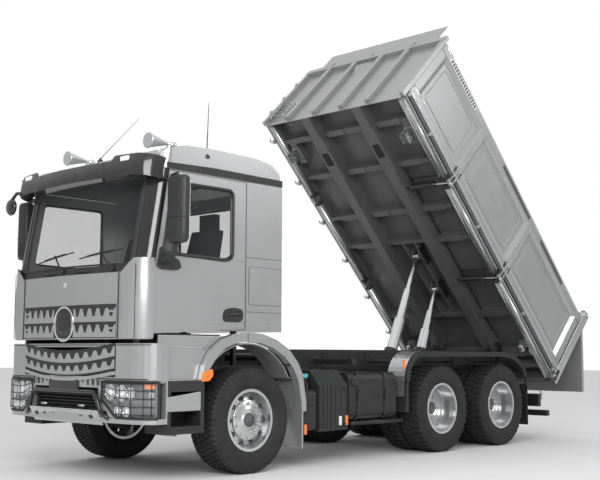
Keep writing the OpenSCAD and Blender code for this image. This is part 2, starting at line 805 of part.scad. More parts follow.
// A box of the flat bed between [x, u, w] corners; u counts forward
module bed_block(x0, x1, u0, u1, w0, w1)
    block([x0, bed_y(u1), bed_z(w0)], [x1, bed_y(u0), bed_z(w1)]);

beam_x0 = 375;
floor_x = 1130;
edge_x0 = 1120;
edge_x1 = bed_in_x - 5;
front_wall_u = bed_len - 60;
wall_face_u = front_wall_u + 0.05;
wall_u0 = 160;
wall_u1 = front_wall_u - 10;
crank_u = [2060, 3700];
crank_slot = 60;
cross_u = [330, 560, 1350, 2760, 3300, 4060, 4700];
cross_w0 = 95;
drop_x = 1215;
drop_w = 150;
hinge_bar_r = 12;
swing_x = 1215;
swing_w = bed_wall_h + 40;
cyl_pivot_x = 562;
cyl_pivot_w = 60;

module bed_post() {
    bed_block(bed_in_x, bed_in_x + wall_t + 5, 0, 150, 30, gate_hinge_w + post_over_hinge);
    // Pin of the tailgate
    x_rod(22, bed_in_x - 58, bed_in_x + 5, bed_y(gate_hinge_u), bed_z(gate_hinge_w));
    bed_block(floor_x - 5, bed_in_x + 1, 0, 100, 30, floor_w);
}

module beam_lug() difference() {
    side_plate(lug_x0, lug_x0 + lug_t) hull() {
        circle(r = lug_r, $fn = 32);
        translate([-200, bed_z(60)]) square([200, 120]);
    }
    x_rod(tip_pin_r + pin_gap, lug_x0 - 1, lug_x0 + lug_t + 1, 0, 0);
}

module eye_cheeks(u) both_sides() {
    side_plate(52, 66) hull() {
        translate([bed_y(u), bed_z(eye_w)]) circle(r = 55, $fn = 32);
        translate([bed_y(u) - 110, bed_z(floor_w - 30)]) square([220, 30]);
    }
    x_rod(24, 65, 84, bed_y(u), bed_z(eye_w));
}

module edge_rail() difference() {
    bed_block(edge_x0, edge_x1, 100, front_wall_u, 30, floor_w + floor_t);
    for (u = crank_u) bed_block(edge_x0 - 20, edge_x1 + 10, u - crank_slot, u + crank_slot, 0, floor_w - 15);
}

module cylinder_ears(u) {
    for (s = [-1, 1]) bed_block(beam_x0 + 149, cyl_pivot_x + 20, u + s * 36 - 6, u + s * 36 + 6, 30, 90);
    y_rod(12, bed_y(u) - 42, bed_y(u) + 42, cyl_pivot_x, bed_z(cyl_pivot_w));
}

module seat_bracket() bed_block(950, 1050, seat_u - 50, seat_u + 50, -75, cross_w0 + 5);

module bed_floor() color(dark_silver) on_bed() {
    bed_block(-floor_x, floor_x, 0, front_wall_u, floor_w, floor_w + floor_t);
    both_sides() {
        bed_block(beam_x0, beam_x0 + 150, tip_u, front_wall_u, 0, floor_w + 1);
        bed_block(beam_x0 - 15, beam_x0 + 165, 4060, 4640, 0, 60);
        beam_lug();
        edge_rail();
        bed_post();
        seat_bracket();
        bed_block(940, 1060, seat_u - 190, seat_u + 190, cross_w0, floor_w + 1);
        // Channels beside the presses
        bed_block(92, 120, 1350, 2760, 100, floor_w + 1);
    }
    for (u = cross_u) bed_block(-floor_x, floor_x, u - 30, u + 30, cross_w0, floor_w + 1);
    bed_block(-floor_x, floor_x, 0, 100, 60, floor_w + 1);
    eye_cheeks(eye_a_u);
    eye_cheeks(eye_b_u);
    // Hinge bar of the left wall
    y_rod(hinge_bar_r, bed_y(front_wall_u), bed_y(149), drop_x, bed_z(drop_w));
    for (u = crank_u) cylinder_ears(u);
    // Hinge pins of the right wall
    for (u = [149, front_wall_u - 45]) y_rod(16, bed_y(u + 45), bed_y(u), -swing_x, bed_z(swing_w));
}

module front_wall() color(silver) on_bed() {
    bed_block(-edge_x1, edge_x1, wall_face_u, front_wall_u + 8, 0, bed_wall_h);
    for (x = [-780, -300, 180, 640])
        bed_block(x - 40, x + 40, front_wall_u + 7, bed_len, 60, bed_wall_h + 1);
    bed_block(-bed_in_x - wall_t, bed_in_x + wall_t, wall_face_u, bed_len, bed_wall_h, bed_wall_h + 100);
    both_sides() bed_block(edge_x1 - 1, bed_in_x + wall_t, wall_face_u, bed_len, 30, bed_wall_h + 1);
    bed_block(-1035, 1035, bed_len - 40, bed_len - 32, bed_wall_h + 99, bed_wall_h + 100 + board_h);
}

wall_x0 = bed_in_x;
wall_x1 = bed_in_x + wall_t;
post_u = [wall_u0 + 60, 2060, 3700, wall_u1 - 60];

// A wall: skin, lower and upper rails and upright posts
module wall_body(w0) {
    bed_block(wall_x0, wall_x0 + 8, wall_u0, wall_u1, w0, bed_wall_h);
    bed_block(wall_x0 + 7, wall_x1, wall_u0, wall_u1, w0, w0 + 150);
    bed_block(wall_x0 + 7, wall_x1, wall_u0, wall_u1, bed_wall_h - 110, bed_wall_h);
    for (u = post_u) bed_block(wall_x0 + 7, wall_x1 - 10, u - 60, u + 60, w0 + 149, bed_wall_h - 109);
}

crank_cheek = [[1240, 260], [1262, 260], [1262, 120], [1250, 15], [1212, 15], [1206, 60], [1236, 122], [1240, 170]];
module crank(u) for (s = [-1, 1]) {
    translate([0, bed_y(u + s * 28) + 6, 0]) rotate([90, 0, 0]) linear_extrude(12)
        polygon([for (p = crank_cheek) [p[0], bed_z(p[1])]]);
    y_rod(16, bed_y(u + s * 40) - 6, bed_y(u + s * 40) + 6, 1230, bed_z(35));
}

drop_lug_u = [200, 1300, 2880, 4400, wall_u1 - 40];
module left_side_wall() color(silver) on_bed() difference() {
    union() {
        wall_body(drop_w + 16);
        for (u = crank_u) crank(u);
        for (u = drop_lug_u) {
            y_rod(23, bed_y(u + 20), bed_y(u - 20), drop_x, bed_z(drop_w));
            bed_block(drop_x - 5, drop_x + 23, u - 20, u + 20, drop_w, drop_w + 20);
        }
    }
    y_rod(hinge_bar_r + pin_gap, bed_y(wall_u1 + 50), bed_y(100), drop_x, bed_z(drop_w));
}

module right_side_wall() color(silver) on_bed() mirror([1, 0, 0]) difference() {
    union() {
        wall_body(60);
        for (u = [wall_u0 + 15, wall_u1 - 15]) {
            y_rod(30, bed_y(u + 15), bed_y(u - 15), swing_x, bed_z(swing_w));
            bed_block(swing_x - 25, swing_x + 25, u - 15, u + 15, bed_wall_h - 10, swing_w);
        }
    }
    for (u = [149, front_wall_u - 50]) y_rod(16 + pin_gap, bed_y(u + 60), bed_y(u - 10), swing_x, bed_z(swing_w));
}

// Drawn closed, then swung to hang straight down as the bed is tilted
module tailgate() color(silver) on_bed()
    translate([0, bed_y(gate_hinge_u), bed_z(gate_hinge_w)]) rotate([bed_tilt, 0, 0]) {
        low = gate_bottom_w - gate_hinge_w;
        high = gate_top_w - gate_hinge_w;
        gate_x = bed_in_x - 10;
        block([-gate_x, -gate_t / 2, low], [gate_x, -gate_t / 2 + 8, high]);
        for (z = [low, (low + high) / 2 - 40, high - 80])
            block([-gate_x, -gate_t / 2 + 7, z], [gate_x, gate_t / 2, z + 80]);
        for (x = [-1, -0.5, 0, 0.5, 1]) {
            px = x * (gate_x - 40);
            block([px - 40, -gate_t / 2 + 7, low], [px + 40, gate_t / 2, high]);
        }
        both_sides() difference() {
            side_plate(gate_x - 40, gate_x) hull() {
                circle(r = 40, $fn = 32);
                translate([-gate_t / 2, high - 20]) square([gate_t, 20]);
            }
            x_rod(22 + pin_gap, gate_x - 60, gate_x + 10, 0, 0);
        }
    }

// ---------------------------------------------------------------- side cylinders

cyl_dir = [1230 - cyl_pivot_x, 35 - cyl_pivot_w];
cyl_len = norm(cyl_dir);
module on_cylinder(u) translate([cyl_pivot_x, bed_y(u), bed_z(cyl_pivot_w)])
    rotate([0, -atan2(cyl_dir[1], cyl_dir[0]), 0]) rotate([0, 90, 0]) children();

rod_r = 14;
module side_cylinder_barrels() color(black) on_bed() for (u = crank_u) on_cylinder(u) difference() {
    union() {
        translate([0, 0, 28]) cylinder(r = 38, h = 402);
        rotate([90, 0, 0]) translate([0, 0, -22]) cylinder(r = 27, h = 44);
        translate([0, 0, 15]) cylinder(r = 22, h = 20);
    }
    translate([0, 0, 60]) cylinder(r = rod_r + pin_gap, h = 400);
    rotate([90, 0, 0]) translate([0, 0, -30]) cylinder(r = 12 + pin_gap, h = 60);
}

module side_cylinder_rods() color(chrome) on_bed() for (u = crank_u) on_cylinder(u) {
    translate([0, 0, 200]) cylinder(r = rod_r, h = cyl_len - 210);
    translate([0, 18, cyl_len]) rotate([90, 0, 0]) cylinder(r = 26, h = 36);
}

// ---------------------------------------------------------------- presses

stage_r = [press_r - 20, press_r - 39, press_r - 55];
stage_gap = 0.5;

function press_foot(y) = [y, press_z];
function press_len(y, u, tilt) = norm(bed_point(u, eye_w, tilt) - press_foot(y));
function press_lean(y, u, tilt) = let (d = bed_point(u, eye_w, tilt) - press_foot(y)) atan2(d[0], d[1]);

// Children are drawn along +Z from the lower pivot, as the press stands
module on_press(y, u) placed() translate([0, y, press_z]) rotate([-press_lean(y, u, bed_tilt), 0, 0]) children();

// How far stage n (1 to 3) stands out of the retracted press
function stage_out(y, u, n) = (press_len(y, u, bed_tilt) - press_len(y, u, 0)) * n / 3;

barrel_top = 585;
module press_barrel(y, u) color(black) on_press(y, u) difference() {
    union() {
        translate([0, 0, -80]) cylinder(r = press_r, h = barrel_top + 80);
        translate([0, 0, barrel_top - 60]) cylinder(r = press_r + 7, h = 50);
        rotate([0, 90, 0]) translate([0, 0, -cradle_x - cradle_t]) cylinder(r = trunnion_r, h = 2 * (cradle_x + cradle_t));
    }
    translate([0, 0, -60]) cylinder(r = stage_r[0] + stage_gap, h = 800);
}

module press_stage(y, u, n) color(chrome) on_press(y, u) translate([0, 0, stage_out(y, u, n)]) difference() {
    translate([0, 0, -58 + 4 * n]) cylinder(r = stage_r[n - 1], h = barrel_top + 58 + 8 * n);
    translate([0, 0, -56 + 4 * n]) cylinder(r = stage_r[n] + stage_gap, h = 900);
}

module press_ram(y, u) color(chrome) on_press(y, u) {
    full = press_len(y, u, bed_tilt);
    flat = press_len(y, u, 0);
    translate([0, 0, full - flat - 44]) cylinder(r = stage_r[2], h = flat + 44 - 30);
    translate([0, 0, full]) rotate([0, 90, 0]) translate([0, 0, -40]) cylinder(r = 42, h = 80);
}

module front_press_barrel() press_barrel(press_a_y, eye_a_u);
module front_press_stage_1() press_stage(press_a_y, eye_a_u, 1);
module front_press_stage_2() press_stage(press_a_y, eye_a_u, 2);
module front_press_ram() press_ram(press_a_y, eye_a_u);
module rear_press_barrel() press_barrel(press_b_y, eye_b_u);
module rear_press_stage_1() press_stage(press_b_y, eye_b_u, 1);
module rear_press_stage_2() press_stage(press_b_y, eye_b_u, 2);
module rear_press_ram() press_ram(press_b_y, eye_b_u);

chassis_rails();
cross_members();
tipping_subframe();
engine();
driveline();
front_axle();
rear_axles();
springs();
fuel_tank();
side_boxes();
silencer_and_air_tanks();
bumper();
headlights();
entry_steps();
front_mudguards();
rear_mudguards();
underrun_bar();
cab_shell();
front_panel();
cab_glass();
sun_visor();
seats();
dashboard();
roof_horns();
left_door();
left_door_glass();
left_mirror();
right_door();
right_door_glass();
right_mirror();
left_knuckle();
right_knuckle();
front_left_tyre();
front_left_rim();
front_right_tyre();
front_right_rim();
mid_left_tyres();
mid_left_rims();
mid_right_tyres();
mid_right_rims();
rear_left_tyres();
rear_left_rims();
rear_right_tyres();
rear_right_rims();
bed_floor();
front_wall();
left_side_wall();
right_side_wall();
tailgate();
side_cylinder_barrels();
side_cylinder_rods();
front_press_barrel();
front_press_stage_1();
front_press_stage_2();
front_press_ram();
rear_press_barrel();
rear_press_stage_1();
rear_press_stage_2();
rear_press_ram();
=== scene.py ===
import json
import math

import bmesh
import bpy
from mathutils import Matrix, Vector


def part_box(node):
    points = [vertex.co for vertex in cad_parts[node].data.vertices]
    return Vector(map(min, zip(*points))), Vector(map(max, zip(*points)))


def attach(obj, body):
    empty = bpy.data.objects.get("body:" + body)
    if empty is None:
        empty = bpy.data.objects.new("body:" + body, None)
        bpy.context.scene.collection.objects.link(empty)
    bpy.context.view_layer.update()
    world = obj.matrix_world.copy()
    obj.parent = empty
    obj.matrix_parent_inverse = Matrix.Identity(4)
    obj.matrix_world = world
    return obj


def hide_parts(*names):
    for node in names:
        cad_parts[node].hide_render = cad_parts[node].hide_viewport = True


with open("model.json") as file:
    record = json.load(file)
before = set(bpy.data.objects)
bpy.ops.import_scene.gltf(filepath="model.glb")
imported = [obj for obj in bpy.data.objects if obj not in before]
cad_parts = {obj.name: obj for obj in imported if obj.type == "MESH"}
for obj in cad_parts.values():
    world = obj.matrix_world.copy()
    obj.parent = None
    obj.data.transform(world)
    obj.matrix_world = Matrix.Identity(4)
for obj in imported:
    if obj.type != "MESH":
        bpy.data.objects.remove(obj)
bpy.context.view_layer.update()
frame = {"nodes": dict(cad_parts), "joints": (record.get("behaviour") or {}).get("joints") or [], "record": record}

record = frame["record"]
joints = {joint["name"]: joint for joint in frame["joints"]}

# ---------------------------------------------------------------- frames and driving sizes
# Vehicle frame: millimetres, x left, y back from the front axle, z up.
# Bed frame: millimetres of the flat bed, x left, u forward from its rear edge, w up.

MM = 0.001


def middle(node):
    """The middle of a CAD node's box."""
    low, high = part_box(node)
    return (low + high) / 2


AXLE_1 = middle("front_left_tyre")
AXLE_2 = middle("mid_left_tyres")
AXLE_3 = middle("rear_left_tyres")
TYRE_R = (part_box("front_left_tyre")[1].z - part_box("front_left_tyre")[0].z) / 2 / MM
VEHICLE = Matrix.Translation((0, AXLE_1.y, 0)) @ Matrix.Scale(MM, 4)

WHEELBASE = (AXLE_2.y - AXLE_1.y) / MM
BOGIE_GAP = (AXLE_3.y - AXLE_2.y) / MM

TIP = Vector(joints["bed_tip"]["pos_m"])
TILT = math.radians(-joints["bed_tip"]["range_deg"][0])
TIP_U, TIP_W = 744, 40


def bed_matrix():
    """Places the bed frame, tipped about its rear ball joints."""
    c, s = math.cos(TILT) * MM, math.sin(TILT) * MM
    turn = Matrix(((MM, 0, 0, 0), (0, -c, s, 0), (0, s, c, 0), (0, 0, 0, 1)))
    return Matrix.Translation(TIP) @ turn @ Matrix.Translation((0, -TIP_U, -TIP_W))


BED = bed_matrix()

CAB_X = 1150
NOSE_Y = -1460
SILL_Z = 2000
SCREEN_FOOT_Y = -1420
RAKE = math.radians(9.6)
ROOF_Z = 3275
RAIL_X = 465
BED_LEN = 5120
BED_IN_X = 1190
WALL_T = 55
BED_WALL_H = 1290

# Press and side cylinder sizes, as packed
BARREL_R, STAGE_1_R, STAGE_2_R = 95, 75, 56
SIDE_PIVOT_X, SIDE_PIVOT_W, SIDE_BARREL_R = 562, 60, 38

LENS_CORNER = math.radians(9)   # step round the bumper's corner in a lamp
SIDES = ((1, "left"), (-1, "right"))


# ---------------------------------------------------------------- materials

def link_noise(tree, coords, scale, detail=3.0, rough=0.55):
    noise = tree.nodes.new("ShaderNodeTexNoise")
    noise.inputs["Scale"].default_value = scale
    noise.inputs["Detail"].default_value = detail
    noise.inputs["Roughness"].default_value = rough
    tree.links.new(coords.outputs["Object"], noise.inputs["Vector"])
    return noise


def surface(name, color, rough=0.5, metal=0.0, vary=0.06, patch=3.0, rough_vary=0.08, grain=350.0, bump=0.03,
            coat=0.0, alpha=1.0, transmission=0.0, ior=1.45, specular=0.5):
    """A finish with soft colour patches, uneven gloss and a fine grain."""
    mat = bpy.data.materials.new(name)
    mat.use_nodes = True
    tree = mat.node_tree
    shader = tree.nodes["Principled BSDF"]
    coords = tree.nodes.new("ShaderNodeTexCoord")
    patches = link_noise(tree, coords, patch)
    ramp = tree.nodes.new("ShaderNodeValToRGB")
    ramp.color_ramp.elements[0].position = 0.3
    ramp.color_ramp.elements[1].position = 0.7
    ramp.color_ramp.elements[0].color = [c * (1 - vary) for c in color] + [1]
    ramp.color_ramp.elements[1].color = [min(1, c * (1 + vary)) for c in color] + [1]
    tree.links.new(patches.outputs["Fac"], ramp.inputs["Fac"])
    tree.links.new(ramp.outputs["Color"], shader.inputs["Base Color"])
    streaks = link_noise(tree, coords, patch * 4)
    spread = tree.nodes.new("ShaderNodeMapRange")
    spread.inputs["From Min"].default_value = 0.3
    spread.inputs["From Max"].default_value = 0.7
    spread.inputs["To Min"].default_value = max(0.02, rough - rough_vary)
    spread.inputs["To Max"].default_value = min(1, rough + rough_vary)
    tree.links.new(streaks.outputs["Fac"], spread.inputs["Value"])
    tree.links.new(spread.outputs["Result"], shader.inputs["Roughness"])
    if bump:
        fine = link_noise(tree, coords, grain, detail=2.0)
        height = tree.nodes.new("ShaderNodeBump")
        height.inputs["Strength"].default_value = bump
        height.inputs["Distance"].default_value = 0.002
        tree.links.new(fine.outputs["Fac"], height.inputs["Height"])
        tree.links.new(height.outputs["Normal"], shader.inputs["Normal"])
    shader.inputs["Metallic"].default_value = metal
    shader.inputs["Coat Weight"].default_value = coat
    shader.inputs["Coat Roughness"].default_value = 0.06
    shader.inputs["IOR"].default_value = ior
    shader.inputs["Specular IOR Level"].default_value = specular
    shader.inputs["Transmission Weight"].default_value = transmission
    shader.inputs["Alpha"].default_value = alpha
    return mat


def tread_plate(name, color, rough, metal):
    """A rolled plate whose small raised studs come from a cell pattern."""
    mat = surface(name, color, rough, metal, vary=0.18, patch=9, rough_vary=0.12, bump=0)
    tree = mat.node_tree
    coords = tree.nodes["Texture Coordinate"]
    cells = tree.nodes.new("ShaderNodeTexVoronoi")
    cells.inputs["Scale"].default_value = 45
    tree.links.new(coords.outputs["Object"], cells.inputs["Vector"])
    height = tree.nodes.new("ShaderNodeBump")
    height.inputs["Strength"].default_value = 0.5
    height.inputs["Distance"].default_value = 0.003
    tree.links.new(cells.outputs["Distance"], height.inputs["Height"])
    tree.links.new(height.outputs["Normal"], tree.nodes["Principled BSDF"].inputs["Normal"])
    return mat


M = {
    "silver_paint": surface("silver_paint", (0.4, 0.403, 0.408), 0.3, 0.6, vary=0.015, patch=0.8,
                            rough_vary=0.03,
                            bump=0, coat=0.7),
    "bed_silver": surface("bed_silver", (0.4, 0.403, 0.407), 0.34, 0.6, vary=0.03, patch=1.2, rough_vary=0.05,
                          bump=0, coat=0.3),
    # A darker copy of the bed silver: painted shade for the bed's underside, which is the same silver paint
    "underbody_silver": surface("underbody_silver", (0.15, 0.151, 0.153), 0.42, 0.5, vary=0.08, patch=1.6,
                                rough_vary=0.06, bump=0),
    "chassis_black": surface("chassis_black", (0.018, 0.018, 0.019), 0.42, vary=0.2, patch=3, grain=300,
                             bump=0.03),
    "black_plastic": surface("black_plastic", (0.022, 0.0225, 0.0235), 0.5, vary=0.15, patch=4, grain=900,
                             bump=0.09),
    "visor_plastic": surface("visor_plastic", (0.025, 0.025, 0.027), 0.16, vary=0.1, patch=4, rough_vary=0.03,
                             grain=700, bump=0.004, coat=0.5, alpha=0.86),
    "gloss_black": surface("gloss_black", (0.012, 0.012, 0.013), 0.14, vary=0.1, patch=4, rough_vary=0.04,
                           grain=700, bump=0.004, coat=0.6),
    "grey_trim": surface("grey_trim", (0.07, 0.07, 0.074), 0.9, vary=0.2, patch=30, grain=1200, bump=0.4),
    "dash_plastic": surface("dash_plastic", (0.05, 0.05, 0.053), 0.6, vary=0.1, patch=5, grain=900,
                            bump=0.12),
    "cast_grey": surface("cast_grey", (0.07, 0.071, 0.073), 0.65, 0.2, vary=0.2, patch=8, grain=160,
                         bump=0.2),
    "spring_steel": surface("spring_steel", (0.04, 0.04, 0.042), 0.5, 0.3, vary=0.25, patch=8, grain=200,
                            bump=0.1),
    "tank_black": surface("tank_black", (0.028, 0.0285, 0.03), 0.36, 0.3, vary=0.12, patch=3, grain=350,
                          bump=0.03),
    "lamp_glass": surface("lamp_glass", (0.9, 0.92, 0.94), 0.04, vary=0.02, patch=6, rough_vary=0.02,
                          bump=0, alpha=0.1, coat=0.2),
    "tinted_glass": surface("tinted_glass", (0.02, 0.023, 0.024), 0.03, vary=0.1, patch=2, rough_vary=0.01,
                            bump=0, alpha=0.16, coat=0.2),
    "tyre_rubber": surface("tyre_rubber", (0.022, 0.022, 0.023), 0.68, vary=0.25, patch=7, grain=500,
                           bump=0.12,
                           specular=0.35),
    "rim_silver": surface("rim_silver", (0.56, 0.565, 0.57), 0.24, 0.85, vary=0.02, patch=2, rough_vary=0.03,
                          bump=0, coat=0.4),
    "chrome": surface("chrome", (0.78, 0.79, 0.8), 0.1, 1.0, vary=0.02, patch=3, rough_vary=0.03, bump=0),
    "barrel_black": surface("barrel_black", (0.015, 0.015, 0.016), 0.2, vary=0.15, patch=5, grain=500,
                            bump=0.01,
                            coat=0.5),
    "zinc": surface("zinc", (0.5, 0.505, 0.51), 0.3, 0.85, vary=0.1, patch=9, rough_vary=0.06, bump=0),
    "zinc_plate": tread_plate("zinc_plate", (0.6, 0.61, 0.62), 0.3, 0.85),
    "hub_grey": surface("hub_grey", (0.1, 0.101, 0.104), 0.45, 0.4, vary=0.15, patch=9, grain=200, bump=0.08),
    "amber": surface("amber", (0.9, 0.2, 0.015), 0.15, vary=0.15, patch=30, grain=90, bump=0.15, coat=0.6),
    "red_lens": surface("red_lens", (0.5, 0.012, 0.01), 0.15, vary=0.15, patch=30, grain=90, bump=0.15,
                        coat=0.6),
    "white_lens": surface("white_lens", (0.85, 0.86, 0.87), 0.15, vary=0.05, patch=30, grain=90, bump=0.15,
                          coat=0.6),
    "blue_cap": surface("blue_cap", (0.1, 0.5, 0.72), 0.4, vary=0.08, patch=15, grain=500, bump=0.05),
    "blank_plate": surface("blank_plate", (0.75, 0.75, 0.74), 0.5, vary=0.03, patch=6, grain=300, bump=0.03),
    "dark_band": surface("dark_band", (0.07, 0.07, 0.073), 0.35, vary=0.1, patch=14, grain=500, bump=0.05),
    "hose": surface("hose", (0.014, 0.014, 0.015), 0.6, vary=0.2, patch=20, grain=400, bump=0.1),
}


def paint_cad():
    """A finish in every CAD material slot."""
    for entry in record["subparts"]:
        node = frame["nodes"][entry["node"]]
        finish = M[entry["material_slot"]]
        if not node.material_slots:
            node.data.materials.append(finish)
        for slot in node.material_slots:
            slot.material = finish


# ---------------------------------------------------------------- mesh tools

class Shape:
    """Collects solids in one mesh, in the millimetres of a frame."""

    def __init__(self):
        self.bm = bmesh.new()

    def face(self, verts, smooth=False):
        try:
            made = self.bm.faces.new(verts)
            made.smooth = smooth
        except ValueError:
            pass

    def points(self, coords):
        return [self.bm.verts.new(c) for c in coords]

    def loft(self, rings, closed=True, caps=True, smooth=True):
        """Joins rings of points that have the same count."""
        made = [self.points(ring) for ring in rings]
        count = len(made[0])
        for a, b in zip(made, made[1:]):
            for i in range(count if closed else count - 1):
                j = (i + 1) % count
                self.face([a[i], a[j], b[j], b[i]], smooth)
        if caps and closed:
            self.face(list(reversed(made[0])))
            self.face(made[-1])
        return self

    def box(self, low, high):
        ring = [(low[0], low[1]), (high[0], low[1]), (high[0], high[1]), (low[0], high[1])]
        return self.loft([[(x, y, z) for x, y in ring] for z in (low[2], high[2])], smooth=False)

    def prism(self, outline, axis, a, b, smooth=False):
        """An outline in the two other axes, in their order, from a to b along an axis."""
        place = {"x": lambda p, t: (t, p[0], p[1]), "y": lambda p, t: (p[0], t, p[1]),
                 "z": lambda p, t: (p[0], p[1], t)}[axis]
        return self.loft([[place(p, t) for p in outline] for t in (a, b)], smooth=smooth)

    def rod(self, a, b, r, r_end=None, n=20):
        a, b = Vector(a), Vector(b)
        side, up = frame_across(b - a)
        ends = ((a, r), (b, r if r_end is None else r_end))
        return self.loft([[p + (side * math.cos(t) + up * math.sin(t)) * q for t in turn(n)] for p,
                          q in ends])

    def tube(self, line, r, n=10, closed=False):
        """A round bar along a line of points."""
        line = [Vector(p) for p in line]
        count = len(line)
        rings, up = [], None
        for i, p in enumerate(line):
            before = line[i - 1] if (i or closed) else p
            after = line[(i + 1) % count] if (i < count - 1 or closed) else p
            along = (after - before).normalized()
            if up is None:
                side, up = frame_across(along)
            side = along.cross(up).normalized()
            up = side.cross(along).normalized()
            rings.append([p + (side * math.cos(t) + up * math.sin(t)) * r for t in turn(n)])
        if closed:
            rings.append([tuple(q) for q in rings[0]])
        return self.loft(rings, caps=not closed)

    def lathe(self, profile, centre=(0, 0, 0), axis="x", n=64, smooth=True, caps=True):
        """Turns (along, radius) points round an axis; a ring's profile ends where it starts, without caps."""
        place = {"x": lambda s, c, h: (h, s, c), "y": lambda s, c, h: (s, h, c), "z": lambda s, c,
                 h: (s, c, h)}[axis]
        centre = Vector(centre)
        rings = [[centre + Vector(place(r * math.sin(t), r * math.cos(t), h)) for t in turn(n)] for h,
                 r in profile]
        return self.loft(rings, smooth=smooth, caps=caps)

    def nuts(self, centre, ring_r, count, r, height, axis=1, start=0.0, n=6):
        """A ring of nuts round a wheel's axle, standing out along x."""
        centre = Vector(centre)
        for i in range(count):
            t = start + 2 * math.pi * i / count
            p = centre + Vector((0, ring_r * math.sin(t), ring_r * math.cos(t)))
            self.rod(p, p + Vector((axis * height * 0.7, 0, 0)), r, n=n)
            self.rod(p + Vector((axis * height * 0.7, 0, 0)), p + Vector((axis * height, 0, 0)), r * 0.6,
                     n=10)
        return self

    def mirror(self):
        """Adds the same solids on the other side."""
        made = bmesh.ops.duplicate(self.bm, geom=self.bm.verts[:] + self.bm.edges[:] + self.bm.faces[:])
        verts = [g for g in made["geom"] if isinstance(g, bmesh.types.BMVert)]
        for v in verts:
            v.co.x = -v.co.x
        bmesh.ops.reverse_faces(self.bm, faces=[g for g in made["geom"] if isinstance(g, bmesh.types.BMFace)])
        return self

    def flip(self):
        """Moves the solids to the other side."""
        for v in self.bm.verts:
            v.co.x = -v.co.x
        return self

    def mesh(self, name, place):
        self.bm.transform(place)
        bmesh.ops.recalc_face_normals(self.bm, faces=self.bm.faces[:])
        data = bpy.data.meshes.new(name)
        self.bm.to_mesh(data)
        self.bm.free()
        return data

    def piece(self, name, finish, body, place=VEHICLE, bevel=0.0, segments=2, slot=None):
        return add_piece(name, self.mesh(name, place), finish, body, bevel, segments)


def add_piece(name, data, finish, body, bevel=0.0, segments=2):
    """A named object with its finish, edges and body."""
    obj = bpy.data.objects.new(name, data)
    bpy.context.scene.collection.objects.link(obj)
    if not data.materials:
        data.materials.append(M[finish])
    if bevel:
        edge = obj.modifiers.new("edge", "BEVEL")
        edge.width = bevel * MM
        edge.segments = segments
        edge.limit_method = "ANGLE"
        edge.angle_limit = math.radians(38)
        edge.harden_normals = True
        for face in data.polygons:
            face.use_smooth = True
    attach(obj, body)
    return obj


def turn(n):
    """Angles round a full turn."""
    return [2 * math.pi * i / n for i in range(n)]


def frame_across(along):
    """Two unit vectors across a direction."""
    along = Vector(along).normalized()
    start = Vector((0, 0, 1)) if abs(along.z) < 0.9 else Vector((1, 0, 0))
    side = along.cross(start).normalized()
    return side, side.cross(along).normalized()


def rounded(outline, r, steps=5):
    """An outline with its corners rounded."""
    out = []
    count = len(outline)
    for i, p in enumerate(outline):
        p = Vector(p)
        a, b = Vector(outline[i - 1]), Vector(outline[(i + 1) % count])
        cut_a, cut_b = min(r, (a - p).length / 2), min(r, (b - p).length / 2)
        start, end = p + (a - p).normalized() * cut_a, p + (b - p).normalized() * cut_b
        for k in range(steps + 1):
            t = k / steps
            out.append((start * (1 - t) ** 2 + p * 2 * t * (1 - t) + end * t * t).to_tuple())
    return out


def add_camera():
    """A low camera ahead of the left front corner."""
    azimuth, elevation, roll = math.radians(43.615), math.radians(-6.372), math.radians(0.24)
    back = Vector((math.sin(azimuth) * math.cos(elevation), -math.cos(azimuth) * math.cos(elevation),
                   math.sin(elevation)))
    level = Vector((math.cos(azimuth), math.sin(azimuth), 0))
    up = back.cross(level)
    right = level * math.cos(roll) + up * math.sin(roll)
    up = up * math.cos(roll) - level * math.sin(roll)
    camera = bpy.data.objects.new("camera", bpy.data.cameras.new("camera"))
    camera.data.sensor_width = 36
    camera.data.lens = 60.51
    place = Matrix((right, up, back)).transposed().to_4x4()
    place.translation = (8.754, AXLE_1.y - 7.197, 1.224)
    camera.matrix_world = place
    bpy.context.scene.collection.objects.link(camera)
    bpy.context.scene.camera = camera


def add_area(name, position, target, size, power):
    """A rectangular light that points at a target."""
    light = bpy.data.objects.new(name, bpy.data.lights.new(name, "AREA"))
    light.data.shape = "RECTANGLE"
    light.data.size, light.data.size_y = size
    light.data.energy = power
    light.location = position
    light.rotation_euler = (Vector(target) - Vector(position)).to_track_quat("-Z", "Y").to_euler()
    bpy.context.scene.collection.objects.link(light)


